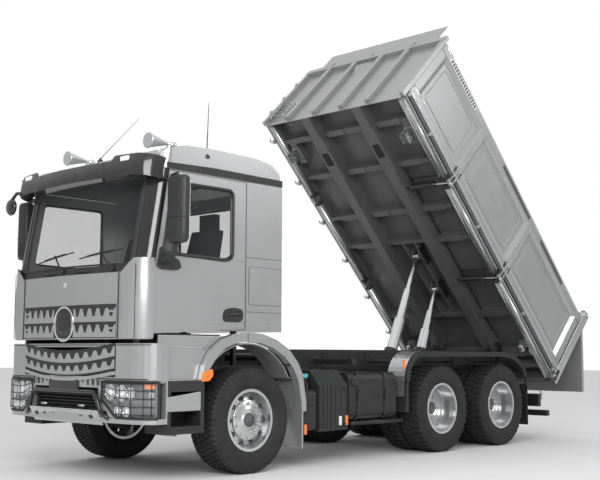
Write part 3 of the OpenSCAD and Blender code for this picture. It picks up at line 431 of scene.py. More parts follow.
def add_stage():
    """White surroundings, two lights and a floor."""
    world = bpy.data.worlds.new("studio")
    world.use_nodes = True
    tree = world.node_tree
    room = tree.nodes["Background"]
    coords = tree.nodes.new("ShaderNodeTexCoord")
    height = tree.nodes.new("ShaderNodeSeparateXYZ")
    ramp = tree.nodes.new("ShaderNodeValToRGB")
    ramp.color_ramp.elements[0].position = 0.0
    ramp.color_ramp.elements[0].color = (0.42, 0.42, 0.42, 1)
    ramp.color_ramp.elements[1].position = 0.75
    ramp.color_ramp.elements[1].color = (0.85, 0.85, 0.85, 1)
    tree.links.new(coords.outputs["Generated"], height.inputs["Vector"])
    tree.links.new(height.outputs["Z"], ramp.inputs["Fac"])
    tree.links.new(ramp.outputs["Color"], room.inputs["Color"])
    seen = tree.nodes.new("ShaderNodeBackground")
    path = tree.nodes.new("ShaderNodeLightPath")
    pick = tree.nodes.new("ShaderNodeMixShader")
    tree.links.new(path.outputs["Is Camera Ray"], pick.inputs["Fac"])
    tree.links.new(room.outputs["Background"], pick.inputs[1])
    tree.links.new(seen.outputs["Background"], pick.inputs[2])
    seen.inputs["Color"].default_value = (1, 1, 1, 1)
    tree.links.new(pick.outputs["Shader"], tree.nodes["World Output"].inputs["Surface"])
    bpy.context.scene.view_settings.view_transform = "Standard"
    bpy.context.scene.world = world
    add_area("key", (8, -10, 5.5), (0, 0, 1.5), (6, 5), 900)
    add_area("side", (11, 8, 8), (0, 3, 3), (5, 3), 260)
    floor = Shape().box((-60, -60, -0.05), (60, 60, 0)).mesh("floor", Matrix.Identity(4))
    floor.materials.append(surface("floor_white", (0.8, 0.8, 0.8), 0.7, vary=0.01, patch=0.5, bump=0.0))
    obj = bpy.data.objects.new("floor", floor)
    bpy.context.scene.collection.objects.link(obj)


# ---------------------------------------------------------------- wheels

BEAD_R = 298


def carcass(shape, width, ring_n=96):
    """The smooth body of a tyre, with fine rings on its sidewalls."""
    w = width
    half = [(w * 0.35, BEAD_R + 1), (w * 0.39, BEAD_R + 2), (w * 0.41, BEAD_R + 16), (w * 0.42, BEAD_R + 30),
            (w * 0.45, BEAD_R + 42), (w * 0.472, BEAD_R + 58), (w * 0.48, BEAD_R + 60),
            (w * 0.488, BEAD_R + 78),
            (w * 0.496, BEAD_R + 100), (w * 0.5, BEAD_R + 104), (w * 0.5, BEAD_R + 110),
            (w * 0.497, BEAD_R + 113), (w * 0.495, BEAD_R + 140), (w * 0.49, BEAD_R + 165),
            (w * 0.483, BEAD_R + 178), (w * 0.478, BEAD_R + 181), (w * 0.472, BEAD_R + 196),
            (w * 0.45, TYRE_R - 26), (w * 0.41, TYRE_R - 19), (w * 0.2, TYRE_R - 17)]
    profile = [(-x, r) for x, r in half] + [(x, r) for x, r in reversed(half)]
    rings = [[(x, r * math.sin(t), r * math.cos(t)) for t in turn(ring_n)] for x, r in profile + [profile[0]]]
    shape.loft(rings, caps=False)


def lug(shape, stations):
    """One tread block. A station is (x, top radius, base radius, first angle, last angle)."""
    rows = []
    for x, top, base, a0, a1 in stations:
        rows.append(shape.points([(x, r * math.sin(a), r * math.cos(a))
                                  for r, a in ((base, a0), (top, a0), (top, a1), (base, a1))]))
    for p, q in zip(rows, rows[1:]):
        for i in range(3):
            shape.face([p[i], p[i + 1], q[i + 1], q[i]])
    shape.face(rows[0])
    shape.face(list(reversed(rows[-1])))


def crown(x, half):
    return TYRE_R - 5 * (x / half) ** 2


def steer_tread(shape, width):
    """Three ribs of six-sided blocks between two shoulder ribs."""
    count, half = 62, width * 0.43
    step = 2 * math.pi / count
    base = TYRE_R - 19
    for i in range(count):
        for rib, shift in ((-0.42, 0.5), (0, 0), (0.42, 0.5)):
            a = (i + shift) * step
            x = rib * half
            lug(shape, [(x - 31, crown(x, half), base, a + step * 0.25, a + step * 0.68),
                        (x, crown(x, half), base, a + step * 0.05, a + step * 0.9),
                        (x + 31, crown(x, half), base, a + step * 0.25, a + step * 0.68)])
        for side in (-1, 1):
            a = i * step
            lug(shape, [(side * (half - 52), crown(half * 0.7, half), base, a + step * 0.3, a + step * 0.7),
                        (side * (half - 34), crown(half * 0.8, half), base, a + step * 0.06, a + step * 0.92),
                        (side * half, crown(half, half), base - 4, a + step * 0.06, a + step * 0.92),
                        (side * (half + 9), TYRE_R - 17, base - 16, a + step * 0.1, a + step * 0.88),
                        (side * (width * 0.478), TYRE_R - 38, TYRE_R - 50, a + step * 0.16, a + step * 0.8)])


def drive_tread(shape, width):
    """Deep lugs: two staggered middle rows and heavy shoulders."""
    count, half = 44, width * 0.43
    step = 2 * math.pi / count
    base = TYRE_R - 20
    for i in range(count):
        a = i * step
        for side in (-1, 1):
            shift = a + (0 if side > 0 else 0.5 * step)
            lug(shape, [(side * 5, crown(5, half), base, shift + step * 0.02, shift + step * 0.7),
                        (side * 34, crown(34, half), base, shift + step * 0.12, shift + step * 0.86),
                        (side * 62, crown(62, half), base, shift + step * 0.3, shift + step * 0.9)])
            lug(shape, [(side * 72, crown(72, half), base, shift + step * 0.28, shift + step * 0.86),
                        (side * half * 0.8, crown(half, half), base, shift + step * 0.22,
                         shift + step * 0.88),
                        (side * half, crown(half, half), base - 3, shift + step * 0.2, shift + step * 0.84),
                        (side * (half + 11), TYRE_R - 16, base - 16, shift + step * 0.22, shift + step * 0.8),
                        (side * (width * 0.482), TYRE_R - 46, TYRE_R - 60, shift + step * 0.28,
                         shift + step * 0.72)])


def tyre_mesh(name, width, tread, offsets):
    shape = Shape()
    for x in offsets:
        one = Shape()
        carcass(one, width)
        tread(one, width)
        one.bm.transform(Matrix.Translation((x, 0, 0)))
        part = bpy.data.meshes.new("part")
        one.bm.to_mesh(part)
        one.bm.free()
        shape.bm.from_mesh(part)
        bpy.data.meshes.remove(part)
    return shape.mesh(name, Matrix.Scale(MM, 4))


def at_hub(name, data, finish, body, centre, side):
    """Sets a wheel piece, drawn for the left, at its axle's centre."""
    obj = add_piece(name, data, finish, body)
    obj.matrix_world = Matrix.Translation(centre) @ Matrix.Rotation(0 if side > 0 else math.pi, 4, "Z")
    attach(obj, body)
    return obj


FRONT_W = (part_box("front_left_tyre")[1].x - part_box("front_left_tyre")[0].x) / MM
TWIN_LOW, TWIN_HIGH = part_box("mid_left_tyres")
TWIN_GAP = 350
REAR_W = (TWIN_HIGH.x - TWIN_LOW.x) / MM - TWIN_GAP
STUD_R = 167.5


def add_tyres():
    """A treaded tyre for each tyre node."""
    front = tyre_mesh("steer_tyre", FRONT_W, steer_tread, (0,))
    twin = tyre_mesh("drive_tyres", REAR_W, drive_tread, (-TWIN_GAP / 2, TWIN_GAP / 2))
    for side, word in SIDES:
        node = f"front_{word}_tyre"
        obj = at_hub(f"front_{word}_tread_tyre", front, "tyre_rubber", f"front_{word}_wheel", middle(node),
                     side)
        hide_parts(node)
        for row in ("mid", "rear"):
            node = f"{row}_{word}_tyres"
            obj = at_hub(f"{row}_{word}_tread_tyres", twin, "tyre_rubber", f"{row}_{word}_wheels",
                         middle(node), side)
            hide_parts(node)


def front_hub():
    """Stud ring, nuts and ten small bosses of a steered wheel, from the middle of its tyre."""
    shape = Shape()
    shape.lathe([(104, 70), (110, 92), (112, 200), (118, 206), (124, 200), (125, 150), (127, 146), (127, 96),
                 (140, 90), (143, 84), (143, 72)], n=72)
    shape.nuts((121, 0, 0), STUD_R + 6, 10, 18, 26)
    for i in range(10):
        t = math.radians(18 + 36 * i)
        p = Vector((122, 126 * math.sin(t), 126 * math.cos(t)))
        shape.rod(p, p + Vector((8, 0, 0)), 8, n=12)
    return shape.mesh("front_hub", Matrix.Scale(MM, 4))


def hand_holes():
    """Gloss-black discs round a front rim's disc: painted shade seen through its hand holes."""
    shape = Shape()
    for i in range(10):
        t = math.radians(18 + 36 * i)
        for k in (-1, 0, 1):
            a = t + k * 0.045
            p = Vector((104, 234 * math.sin(a), 234 * math.cos(a)))
            shape.rod(p, p + Vector((9 + 0.4 * k, 0, 0)), 17, n=20)
    return shape.mesh("hand_holes", Matrix.Scale(MM, 4))


def hub_cap():
    """The bearing cap in a front wheel."""
    shape = Shape()
    shape.lathe([(143, 0.5), (143, 72), (152, 71), (156, 66), (157, 40), (161, 36), (162, 0.5)], n=48)
    shape.nuts((155, 0, 0), 56, 6, 6, 9, n=12)
    return shape.mesh("front_hub_cap", Matrix.Scale(MM, 4))


def rear_hub_and_dish_shade():
    """The planetary hub inside a twin wheel, from the middle of the pair, with its dark disc carried out over the
    rim's dish as painted shade.
    """
    shape = Shape()
    # The first points carry the dark hub disc out to r 262 over the rim's dish: painted shade, not a hub part
    shape.lathe([(18, 262), (23, 259), (25, 140), (40, 138), (96, 134), (128, 130), (134, 122), (136, 84),
                 (142, 80), (146, 60), (148, 0.5)], n=72)
    shape.nuts((22, 0, 0), STUD_R, 10, 18, 34)
    shape.nuts((134, 0, 0), 104, 10, 9, 13, start=0.3)
    shape.nuts((140, 0, 0), 68, 5, 6, 10, n=10)
    return shape.mesh("rear_hub_and_dish_shade", Matrix.Scale(MM, 4))


def rear_rim_face():
    """Bright rolled steps inside the outer rim of a twin wheel."""
    seat = TWIN_GAP / 2 + REAR_W * 0.39
    shape = Shape()
    shape.lathe([(90, BEAD_R - 13), (112, BEAD_R - 22), (128, BEAD_R - 20), (seat - 32, BEAD_R - 14),
                 (seat - 20, BEAD_R - 13), (seat + 4, BEAD_R - 4), (seat + 13, BEAD_R + 4),
                 (seat + 17, BEAD_R + 14),
                 (seat + 15, BEAD_R + 18.5), (seat + 12, BEAD_R + 14), (seat + 6, BEAD_R - 10),
                 (92, BEAD_R - 11.5)],
                n=96)
    return shape.mesh("rear_rim_face", Matrix.Scale(MM, 4))


def add_hubs():
    """Hubs, nuts and rim faces on every wheel."""
    front, cap, rear, face, holes = front_hub(), hub_cap(), rear_hub_and_dish_shade(), rear_rim_face(), hand_holes()
    for side, word in SIDES:
        body = f"front_{word}_wheel"
        centre = middle(f"front_{word}_tyre")
        at_hub(f"front_{word}_hub_ring", front, "rim_silver", body, centre, side)
        at_hub(f"front_{word}_hub_cap", cap, "hub_grey", body, centre, side)
        # Gloss-black discs at the hand holes: painted shade seen through the rim
        at_hub(f"front_{word}_hand_holes", holes, "gloss_black", body, centre, side)
        for row in ("mid", "rear"):
            body = f"{row}_{word}_wheels"
            centre = middle(f"{row}_{word}_tyres")
            at_hub(f"{row}_{word}_hub", rear, "hub_grey", body, centre, side)
            at_hub(f"{row}_{word}_rim_face", face, "rim_silver", body, centre, side)


# ---------------------------------------------------------------- cab

def nose_bow(x):
    """How far the screen's plan falls back from its middle, at x."""
    if abs(x) <= 930:
        return 60 * (x / 930) ** 2
    return 190 - 130 * math.sqrt(max(0, 1 - ((abs(x) - 930) / 220) ** 2))


def screen_point(x, up, out=0.0):
    """A point on the leaning windscreen's surface, up mm along it from its foot."""
    y = nose_bow(x) - out
    return (x, SCREEN_FOOT_Y + y * math.cos(RAKE) + up * math.sin(RAKE),
            SILL_Z - y * math.sin(RAKE) + up * math.cos(RAKE))


def nose_point(x, z, out=0.0, half_w=1148):
    """A point on the front panel's upright surface."""
    if abs(x) <= 930:
        return (x, NOSE_Y + 70 * (x / 930) ** 2 - out, z)
    t = math.asin(min(1, (abs(x) - 930) / (half_w - 930)))
    side = 1 if x > 0 else -1
    return (x + side * out * math.sin(t), -1235 - 155 * math.cos(t) - out * math.cos(t), z)


def shell(rows, thick, back):
    """A curved plate: rows of points, and the same rows set back by a vector."""
    shape = Shape()
    count = len(rows[0])
    front = [shape.points(row) for row in rows]
    rear = [shape.points([(p[0] + back[0] * thick, p[1] + back[1] * thick,
                           p[2] + back[2] * thick) for p in row])
            for row in rows]
    for a, b in zip(front, front[1:]):
        for i in range(count - 1):
            shape.face([a[i], a[i + 1], b[i + 1], b[i]], True)
    for a, b in zip(rear, rear[1:]):
        for i in range(count - 1):
            shape.face([a[i], b[i], b[i + 1], a[i + 1]], True)
    for i in range(count - 1):
        shape.face([front[0][i], rear[0][i], rear[0][i + 1], front[0][i + 1]])
        shape.face([front[-1][i], front[-1][i + 1], rear[-1][i + 1], rear[-1][i]])
    for k in range(len(rows) - 1):
        shape.face([front[k][0], front[k + 1][0], rear[k + 1][0], rear[k][0]])
        shape.face([front[k][-1], rear[k][-1], rear[k + 1][-1], front[k + 1][-1]])
    return shape


def spread(a, b, n):
    """n + 1 even steps from a to b."""
    return [a + (b - a) * i / n for i in range(n + 1)]


def pillar_x(n):
    """Stations round the cab's corner, closer together where it turns."""
    return [930 + 220 * math.sin(math.radians(90 * i / n)) for i in range(n + 1)]


def add_windscreen_surround():
    """Black pillars, header and cowl round the windscreen."""
    across = [-x for x in reversed(pillar_x(8))] + spread(-900, 900, 24) + pillar_x(8)
    cowl = shell([[screen_point(x, up, 5) for x in across] for up in spread(-6, 64, 3)], 5, (0, 1, 0))
    cowl.piece("windscreen_cowl", "black_plastic", "cab", bevel=2)
    header = shell([[screen_point(x, up, 5) for x in across] for up in spread(962, 1050, 3)], 5, (0, 1, 0))
    header.piece("windscreen_header", "gloss_black", "cab", bevel=2)
    corner = [1000] + pillar_x(10)
    for side, word in SIDES:
        rows = [[screen_point(side * x, up, 4) for x in corner] for up in spread(60, 968, 12)]
        shell(rows, 4, (0, 1, 0)).piece(f"{word}_screen_pillar", "gloss_black", "cab", bevel=1.5)
    seal = [(-985, 76), (985, 76), (985, 948), (-985, 948)]
    line = [screen_point(x, up, 6) for x, up in densify(rounded(seal, 70), 60)]
    Shape().tube(line, 9, closed=True).piece("windscreen_seal", "black_plastic", "cab")


def densify(points, step, closed=True):
    """Adds points so that none are further apart than a step."""
    out = []
    count = len(points)
    for i in range(count if closed else count - 1):
        a, b = Vector(points[i]), Vector(points[(i + 1) % count])
        parts = max(1, math.ceil((b - a).length / step))
        out += [(a + (b - a) * k / parts).to_tuple() for k in range(parts)]
    if not closed:
        out.append(tuple(points[-1]))
    return out


def add_wipers():
    """Arms, blades and two cowl vents."""
    shape = Shape()
    for pivot_x, tip_x, reach in ((250, 700, 330), (-560, -80, 330)):
        pivot = Vector(screen_point(pivot_x + 470, 30, 16))
        tip = Vector(screen_point(tip_x - 200, 210, 22))
        shape.rod(pivot + Vector((0, 12, 0)), pivot + Vector((0, -14, 0)), 22)
        shape.tube([pivot, pivot + (tip - pivot) * 0.4 + Vector((0, -10, 0)), tip], 9)
        for lift, out, share, n, r in ((190, 14, 1, 8, 7), (197, 22, 0.6, 6, 5)):
            shape.tube([screen_point(tip_x - 200 + dx, lift + dx * 0.11, out)
                        for dx in spread(-reach * share, reach * share, n)], r)
    for x in (-330, 260):
        shape.loft([[screen_point(x + 150 * s * math.cos(t), 24 + 26 * s * math.sin(t), 4 + 26 * (1 - s))
                     for t in turn(24)] for s in (1, 0.8, 0.55, 0.2)])
    shape.piece("wipers", "black_plastic", "cab")


def toothed(x0, x1, z_low, z_mid, z_high, teeth):
    """The lower and the upper line of a grille bar with peaks along its upper edge."""
    step = (x1 - x0) / teeth
    top = [(x0, z_high)]
    for i in range(teeth):
        x = x0 + i * step
        top += [(x + step * 0.13, z_high), (x + step * 0.35, z_mid), (x + step * 0.65, z_mid),
                (x + step * 0.87, z_high)]
    top.append((x1, z_high))
    return [(x, z_low) for x, z in top], top


def bar_on_nose(outline, out, depth, surface_point):
    """A strip between a lower and an upper line [x, z], bent onto the nose."""
    low, high = outline
    rows = []
    for line, ahead in ((low, out), (high, out), (high, out - depth), (low, out - depth)):
        rows.append([surface_point(x, z, ahead) for x, z in line])
    shape = Shape()
    return shape.loft([[row[i] for row in rows] for i in range(len(low))], smooth=False)


def join(name, shapes, finish, body, place=VEHICLE, bevel=0.0, slot=None):
    """Several shapes in one piece."""
    whole = Shape()
    for shape in shapes:
        part = bpy.data.meshes.new("part")
        shape.bm.to_mesh(part)
        shape.bm.free()
        whole.bm.from_mesh(part)
        bpy.data.meshes.remove(part)
    return whole.piece(name, finish, body, place, bevel, slot=slot)


BADGE = (0, 1500)
BADGE_R = 172


def add_grille():
    """Two toothed rows and a blank round badge."""
    bars, gaps = [], []
    for z_low, z_mid, z_high in ((1364, 1414, 1486), (1514, 1568, 1646)):
        for x0, x1 in ((-808, -BADGE_R - 4), (BADGE_R + 4, 808)):
            bars.append(bar_on_nose(toothed(x0, x1, z_low, z_mid, z_high, 5), 7, 12, nose_point))
    gaps.append(shell([[nose_point(x, z, 1.5) for x in spread(-812, 812, 20)] for z in (1356, 1500, 1684)],
                      12,
                      (0, 1, 0)))
    join("grille_bars", bars, "silver_paint", "cab", bevel=3)
    join("grille_backing", gaps, "black_plastic", "cab", bevel=1.5)
    ring = Shape()
    ring.lathe([(NOSE_Y + 2, BADGE_R - 14), (NOSE_Y - 4, BADGE_R - 12), (NOSE_Y - 6, BADGE_R - 4),
                (NOSE_Y - 4, BADGE_R + 4),
                (NOSE_Y + 6, BADGE_R + 8), (NOSE_Y + 30, BADGE_R + 6), (NOSE_Y + 30, BADGE_R - 14)],
               (BADGE[0], 0, BADGE[1]), "y", 96)
    ring.piece("badge_ring", "chrome", "cab")
    disc = Shape()
    disc.lathe([(NOSE_Y + 4, BADGE_R - 13), (NOSE_Y - 1, BADGE_R - 40), (NOSE_Y - 3, 60),
                (NOSE_Y - 3.5, 0.5)],
               (BADGE[0], 0, BADGE[1]), "y", 64)
    disc.piece("badge_disc", "gloss_black", "cab")
    stud = Shape()
    stud.lathe([(NOSE_Y + 10, 26), (NOSE_Y - 2, 26), (NOSE_Y - 5, 22), (NOSE_Y - 5.5, 0.5)], (0, 0, 1890),
               "y", 40)
    stud.piece("upper_badge", "chrome", "cab")


def add_corner_deflectors():
    """Curved painted corners beside the front panel."""
    for side, word in SIDES:
        xs = spread(842, 930, 3)[:-1] + [930 + 218 * math.sin(math.radians(9 * i)) for i in range(11)]
        rows = []
        for k, z in enumerate(spread(1352, 2118, 12)):
            rise = k / 12
            bulge = 8 + 12 * math.sin(math.pi * min(1, rise * 1.15))
            rows.append([nose_point(side * x, min(z, z - 150 * max(0, 1 - (x - 842) / 190) * rise ** 6),
                                    bulge *
                                    min(1, (x - 836) / 60)) for x in xs])
        rows = [[(side * min(abs(p[0]), 1168), max(p[1], -1466), p[2]) for p in row] for row in rows]
        back = shell(rows, 10, (0, 1, 0))
        back.piece(f"{word}_corner_deflector", "silver_paint", "cab", bevel=2)
        line = [nose_point(side * 1052, z, 21) for z in spread(1356, 2060, 12)]
        Shape().tube(line, 3).piece(f"{word}_deflector_split", "black_plastic", "cab")
        slot_line = [nose_point(side * 836, z, 3) for z in spread(1350, 1985, 10)]
        Shape().tube(slot_line, 6).piece(f"{word}_deflector_gap", "black_plastic", "cab")


DOOR_WINDOW = [(-1128, 2175), (-1010, 2880), (-215, 2880), (-215, 2185), (-300, 2150)]


def side_line(outline, x, side):
    return [(side * x, y, z) for y, z in outline]


def add_door_details():
    """Window frames, handles, creases and inner cards."""
    for side, word in SIDES:
        body = f"{word}_door"
        frame_line = side_line(densify(rounded(DOOR_WINDOW, 70), 80), CAB_X + 1, side)
        Shape().tube(frame_line, 15, n=12, closed=True).piece(f"{word}_window_rubber", "black_plastic", body)
        inset = [(y * 0.985 - 12, 2520 + (z - 2520) * 0.955) for y, z in DOOR_WINDOW]
        inner = side_line(densify(rounded(inset, 60), 80), CAB_X - 15, side)
        Shape().tube(inner, 9, closed=True).piece(f"{word}_window_channel", "gloss_black", body)
        # Handle in its dark oval
        oval = rounded([(-352, 1560), (-330, 1655), (-190, 1680), (-62, 1660), (-62, 1560), (-110, 1528),
                        (-320, 1528)], 45)
        cup = Shape().prism(oval, "x", side * (CAB_X - 4), side * (CAB_X + 5))
        cup.piece(f"{word}_handle_cup", "black_plastic", body, bevel=3)
        grip = Shape().tube([(side * (CAB_X + 6), -325, 1590), (side * (CAB_X + 17), -290, 1602),
                             (side * (CAB_X + 19), -190, 1612), (side * (CAB_X + 12), -105, 1612),
                             (side * (CAB_X + 4), -85, 1608)], 11)
        grip.rod((side * (CAB_X + 3), -120, 1640), (side * (CAB_X + 10), -120, 1640), 9)
        grip.piece(f"{word}_handle", "gloss_black", body)
        # Crease and lower trim
        crease = [(side * (CAB_X + 0.5), y, 1492 + (y + 1216) * 0.032) for y in spread(-1180, -48, 12)]
        Shape().tube(crease, 3.5).piece(f"{word}_door_crease", "silver_paint", body)
        shoulder = [(side * (CAB_X + 0.5), y, 2128 + (y + 1216) * 0.03) for y in spread(-1120, -48, 12)]
        Shape().tube(shoulder, 4).piece(f"{word}_door_shoulder", "silver_paint", body)
        card = Shape().prism([(-1150, 1480), (-1150, 2060), (-300, 2060), (-90, 2060), (-90, 1500)], "x",
                             side * (CAB_X - 49), side * (CAB_X - 75))
        card.box((side * (CAB_X - 75) - 20, -800, 1830), (side * (CAB_X - 75) + 20, -330, 1880))
        card.piece(f"{word}_door_card", "dash_plastic", body, bevel=8)


def add_cab_sides():
    """Seams, locker, rain rail and rear wall lines behind the doors."""
    for side, word in SIDES:
        stripe = Shape().prism([(-1090, 3008), (-1098, 3064), (-500, 3082), (496, 3072), (496, 3010)], "x",
                               side * (CAB_X - 6), side * (CAB_X + 9))
        stripe.piece(f"{word}_drip_rail", "black_plastic", "cab", bevel=3)
        lip = Shape().tube([(side * (CAB_X + 8), y, 3004 + (y + 1090) * 0.001)
                            for y in spread(-1090, 494, 8)], 4)
        lip.piece(f"{word}_drip_lip", "dark_band", "cab")
        hatch = rounded([(16, 1716), (16, 2110), (492, 2110), (492, 1716)], 22)
        Shape().prism(hatch, "x", side * (CAB_X - 2), side * (CAB_X + 3.5)).piece(
            f"{word}_stowage_hatch", "silver_paint", "cab", bevel=2)
        Shape().tube(side_line(densify(hatch, 90), CAB_X + 0.5, side), 3.2, closed=True).piece(
            f"{word}_hatch_gap", "black_plastic", "cab")
        seams = Shape()
        for z in (1640, 2205):
            seams.tube([(side * (CAB_X + 0.2), y, z) for y in (-30, 498)], 2.2)
        seams.tube([(side * (CAB_X + 0.2), -28, z) for z in (1470, 2985)], 2.2)
        seams.piece(f"{word}_panel_seams", "black_plastic", "cab")
        pad = Shape().prism(rounded([(-30, 2990), (-30, 2215), (490, 2215), (490, 2960)], 60), "x",
                            side * (CAB_X - 4), side * (CAB_X + 2))
        pad.piece(f"{word}_rear_quarter", "silver_paint", "cab", bevel=2)
    back = Shape()
    for x in (-420, -140, 140, 420):
        back.prism(rounded([(x - 90, 1520), (x + 90, 1520), (x + 90, 2150), (x - 90, 2150)], 30), "y", 498,
                   512)
    back.piece("rear_wall_ribs", "silver_paint", "cab", bevel=5)
    seal = [(x, 501, z)
            for x, z in densify(rounded([(-562, 2238), (562, 2238), (562, 2842), (-562, 2842)], 60), 80)]
    Shape().tube(seal, 14, closed=True).piece("rear_window_rubber", "black_plastic", "cab")


def add_roof_details():
    """Horn fittings, aerials, hatch and beads."""
    horn = Shape()
    horn.tube([(700, -700, ROOF_Z + 84), (500, -600, ROOF_Z + 80), (250, -520, ROOF_Z + 84)], 10)
    for x, y, r, length in ((720, -760, 78, 236), (-720, -760, 78, 236)):
        horn.lathe([(y - length - 6, r - 5), (y - length - 6, r + 2), (y - length + 4, r + 4),
                    (y - length + 12, r - 4)],
                   (x, 0, ROOF_Z + 80), "y", 40)
        horn.lathe([(y + 40, 14), (y + 70, 30), (y + 96, 32), (y + 112, 24), (y + 116, 0.5)],
                   (x, 0, ROOF_Z + 80), "y", 32)
    horn.piece("horn_fittings", "chrome", "cab")
    aerial = Shape()
    aerial.lathe([(3168, 20), (3178, 34), (3196, 32), (3216, 14), (3246, 9), (3250, 0.5)], (1136, -575, 0),
                 "z", 24)
    aerial.rod((1136, -575, 3230), (1140, -560, 3745), 6, 3, n=10)
    aerial.lathe([(ROOF_Z - 60, 34), (ROOF_Z - 32, 30), (ROOF_Z - 14, 12), (ROOF_Z, 8)], (-80, -1010, 0),
                 "z", 24)
    aerial.rod((-80, -1010, ROOF_Z - 10), (250, -760, ROOF_Z + 420), 4, 2, n=8)
    aerial.piece("aerials", "gloss_black", "cab")
    hatch = Shape().prism(rounded([(-380, -480), (380, -480), (380, 160), (-380, 160)], 60), "z", ROOF_Z - 6,
                          ROOF_Z + 26)
    hatch.piece("roof_hatch", "silver_paint", "cab", bevel=12)
    rib = Shape()
    for x in (-900, 900):
        rib.tube([(x, -980, ROOF_Z - 42), (x, -850, ROOF_Z - 16), (x, -500, ROOF_Z - 3),
                  (x, 100, ROOF_Z - 14),
                  (x, 330, ROOF_Z - 48)], 12)
    rib.piece("roof_beads", "silver_paint", "cab")


def mirror_housing(shape):
    """Tall rounded head of a mirror; add_mirrors adds its dimples and glass."""
    rows = []
    for z, grow in ((2252, 0.5), (2262, 0.82), (2300, 0.97), (2380, 1), (2840, 1), (2880, 0.96), (2900, 0.75),
                    (2905, 0.5)):
        ring = rounded([(1245, -1165), (1290, -1176), (1410, -1168), (1482, -1130), (1480, -1062),
                        (1250, -1058)],
                       34, 4)
        cx, cy = 1365, -1112
        rows.append([(cx + (x - cx) * grow, cy + (y - cy) * grow, z) for x, y in ring])
    shape.loft(rows)
    return shape


def add_mirrors():
    """Main mirrors on the doors and the kerb mirror."""
    for side, word in SIDES:
        body = f"{word}_door"
        head = mirror_housing(Shape())
        for row in range(6):
            for col in range(4):
                p = Vector((1300 + col * 26, -1178 + col * 1.5, 2310 + row * 24))
                head.rod(p + Vector((0, 6, 0)), p + Vector((0, -4, 0)), 7, 4, n=10)
        head.tube([(1240, -1170, 2486), (1300, -1181, 2496), (1400, -1174, 2500), (1484, -1130, 2490)], 3)
        arm = Shape()
        arm.loft([[(x, -1120 + 46 * s * math.cos(t), 2110 + 36 * s * math.sin(t) + lift) for t in turn(20)]
                  for x, s, lift in ((1140, 1.5, -10), (1180, 1.25, -4), (1240, 1, 10), (1310, 0.9, 50),
                                     (1330, 0.7, 150), (1330, 0.6, 180))])
        arm.prism(rounded([(-1205, 2040), (-1160, 2240), (-1125, 2200), (-930, 2110), (-900, 2040),
                           (-960, 2012),
                           (-1150, 2012)], 30), "x", 1144, 1168)
        arm.tube([(1150, -1030, 2936), (1210, -1040, 2940), (1290, -1080, 2936), (1330, -1100, 2900)], 18)
        if side < 0:
            head.flip()
            arm.flip()
        obj = head.piece(f"{word}_mirror_head", "black_plastic", body, bevel=1.5, slot="black_plastic")
        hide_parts(f"{word}_mirror")
        arm.piece(f"{word}_mirror_arm", "black_plastic", body, bevel=4)
        glass = Shape().box((1268, -1060, 2300), (1462, -1054, 2870))
        if side < 0:
            glass.flip()
        glass.piece(f"{word}_mirror_glass", "chrome", body, bevel=2)
    # Kerb mirror that hangs in front of the right corner
    kerb = Shape()
    kerb.tube([(-1010, -1340, 2960), (-1080, -1400, 2950), (-1130, -1425, 2880)], 18)
    kerb.lathe([(-1452, 18), (-1450, 76), (-1432, 92), (-1412, 87), (-1398, 50), (-1394, 0.5)],
               (-1135, 0, 2800), "y", 32)
    kerb.piece("kerb_mirror", "gloss_black", "cab")


# ---------------------------------------------------------------- front end below the cab

BUMPER_X = 1245
BUMPER_NOSE_Y = -1435


def bumper_point(x, z, out=0.0):
    """A point on the bumper's upright face."""
    if abs(x) <= 930:
        return (x, BUMPER_NOSE_Y + 60 * (x / 930) ** 2 - out, z)
    t = math.asin(min(1, (abs(x) - 930) / (BUMPER_X - 930)))
    side = 1 if x > 0 else -1
    return (x + side * out * math.sin(t), -1190 - 185 * math.cos(t) - out * math.cos(t), z)


def lower_row_z(x, z):
    """The lower grille's rows sag towards the middle."""
    return z - 70 * (1 - min(1, abs(x) / 760) ** 2)


def add_lower_grille():
    """Two sagging toothed rows in the bumper."""
    bars, gaps = [], []
    for z_low, z_mid, z_high in ((1036, 1070, 1122), (1152, 1190, 1246)):
        lines = toothed(-785, 785, z_low, z_mid, z_high, 11)
        lines = [[(x, lower_row_z(x, z + 30)) for x, z in line] for line in lines]
        bars.append(bar_on_nose(lines, 8, 24, bumper_point))
    edge = [[(x, lower_row_z(x, z)) for x in spread(-800, 800, 24)] for z in (1004, 1040)]
    bars.append(bar_on_nose(edge, 12, 30, bumper_point))
    gaps.append(shell([[bumper_point(x, lower_row_z(x, z) + 20, 1.5) for x in spread(-795, 795, 24)]
                       for z in (1030, 1150, 1288)], 10, (0, 1, 0)))
    join("lower_grille_bars", bars, "silver_paint", "chassis", bevel=3)
    join("lower_grille_backing", gaps, "black_plastic", "chassis", bevel=1.5)


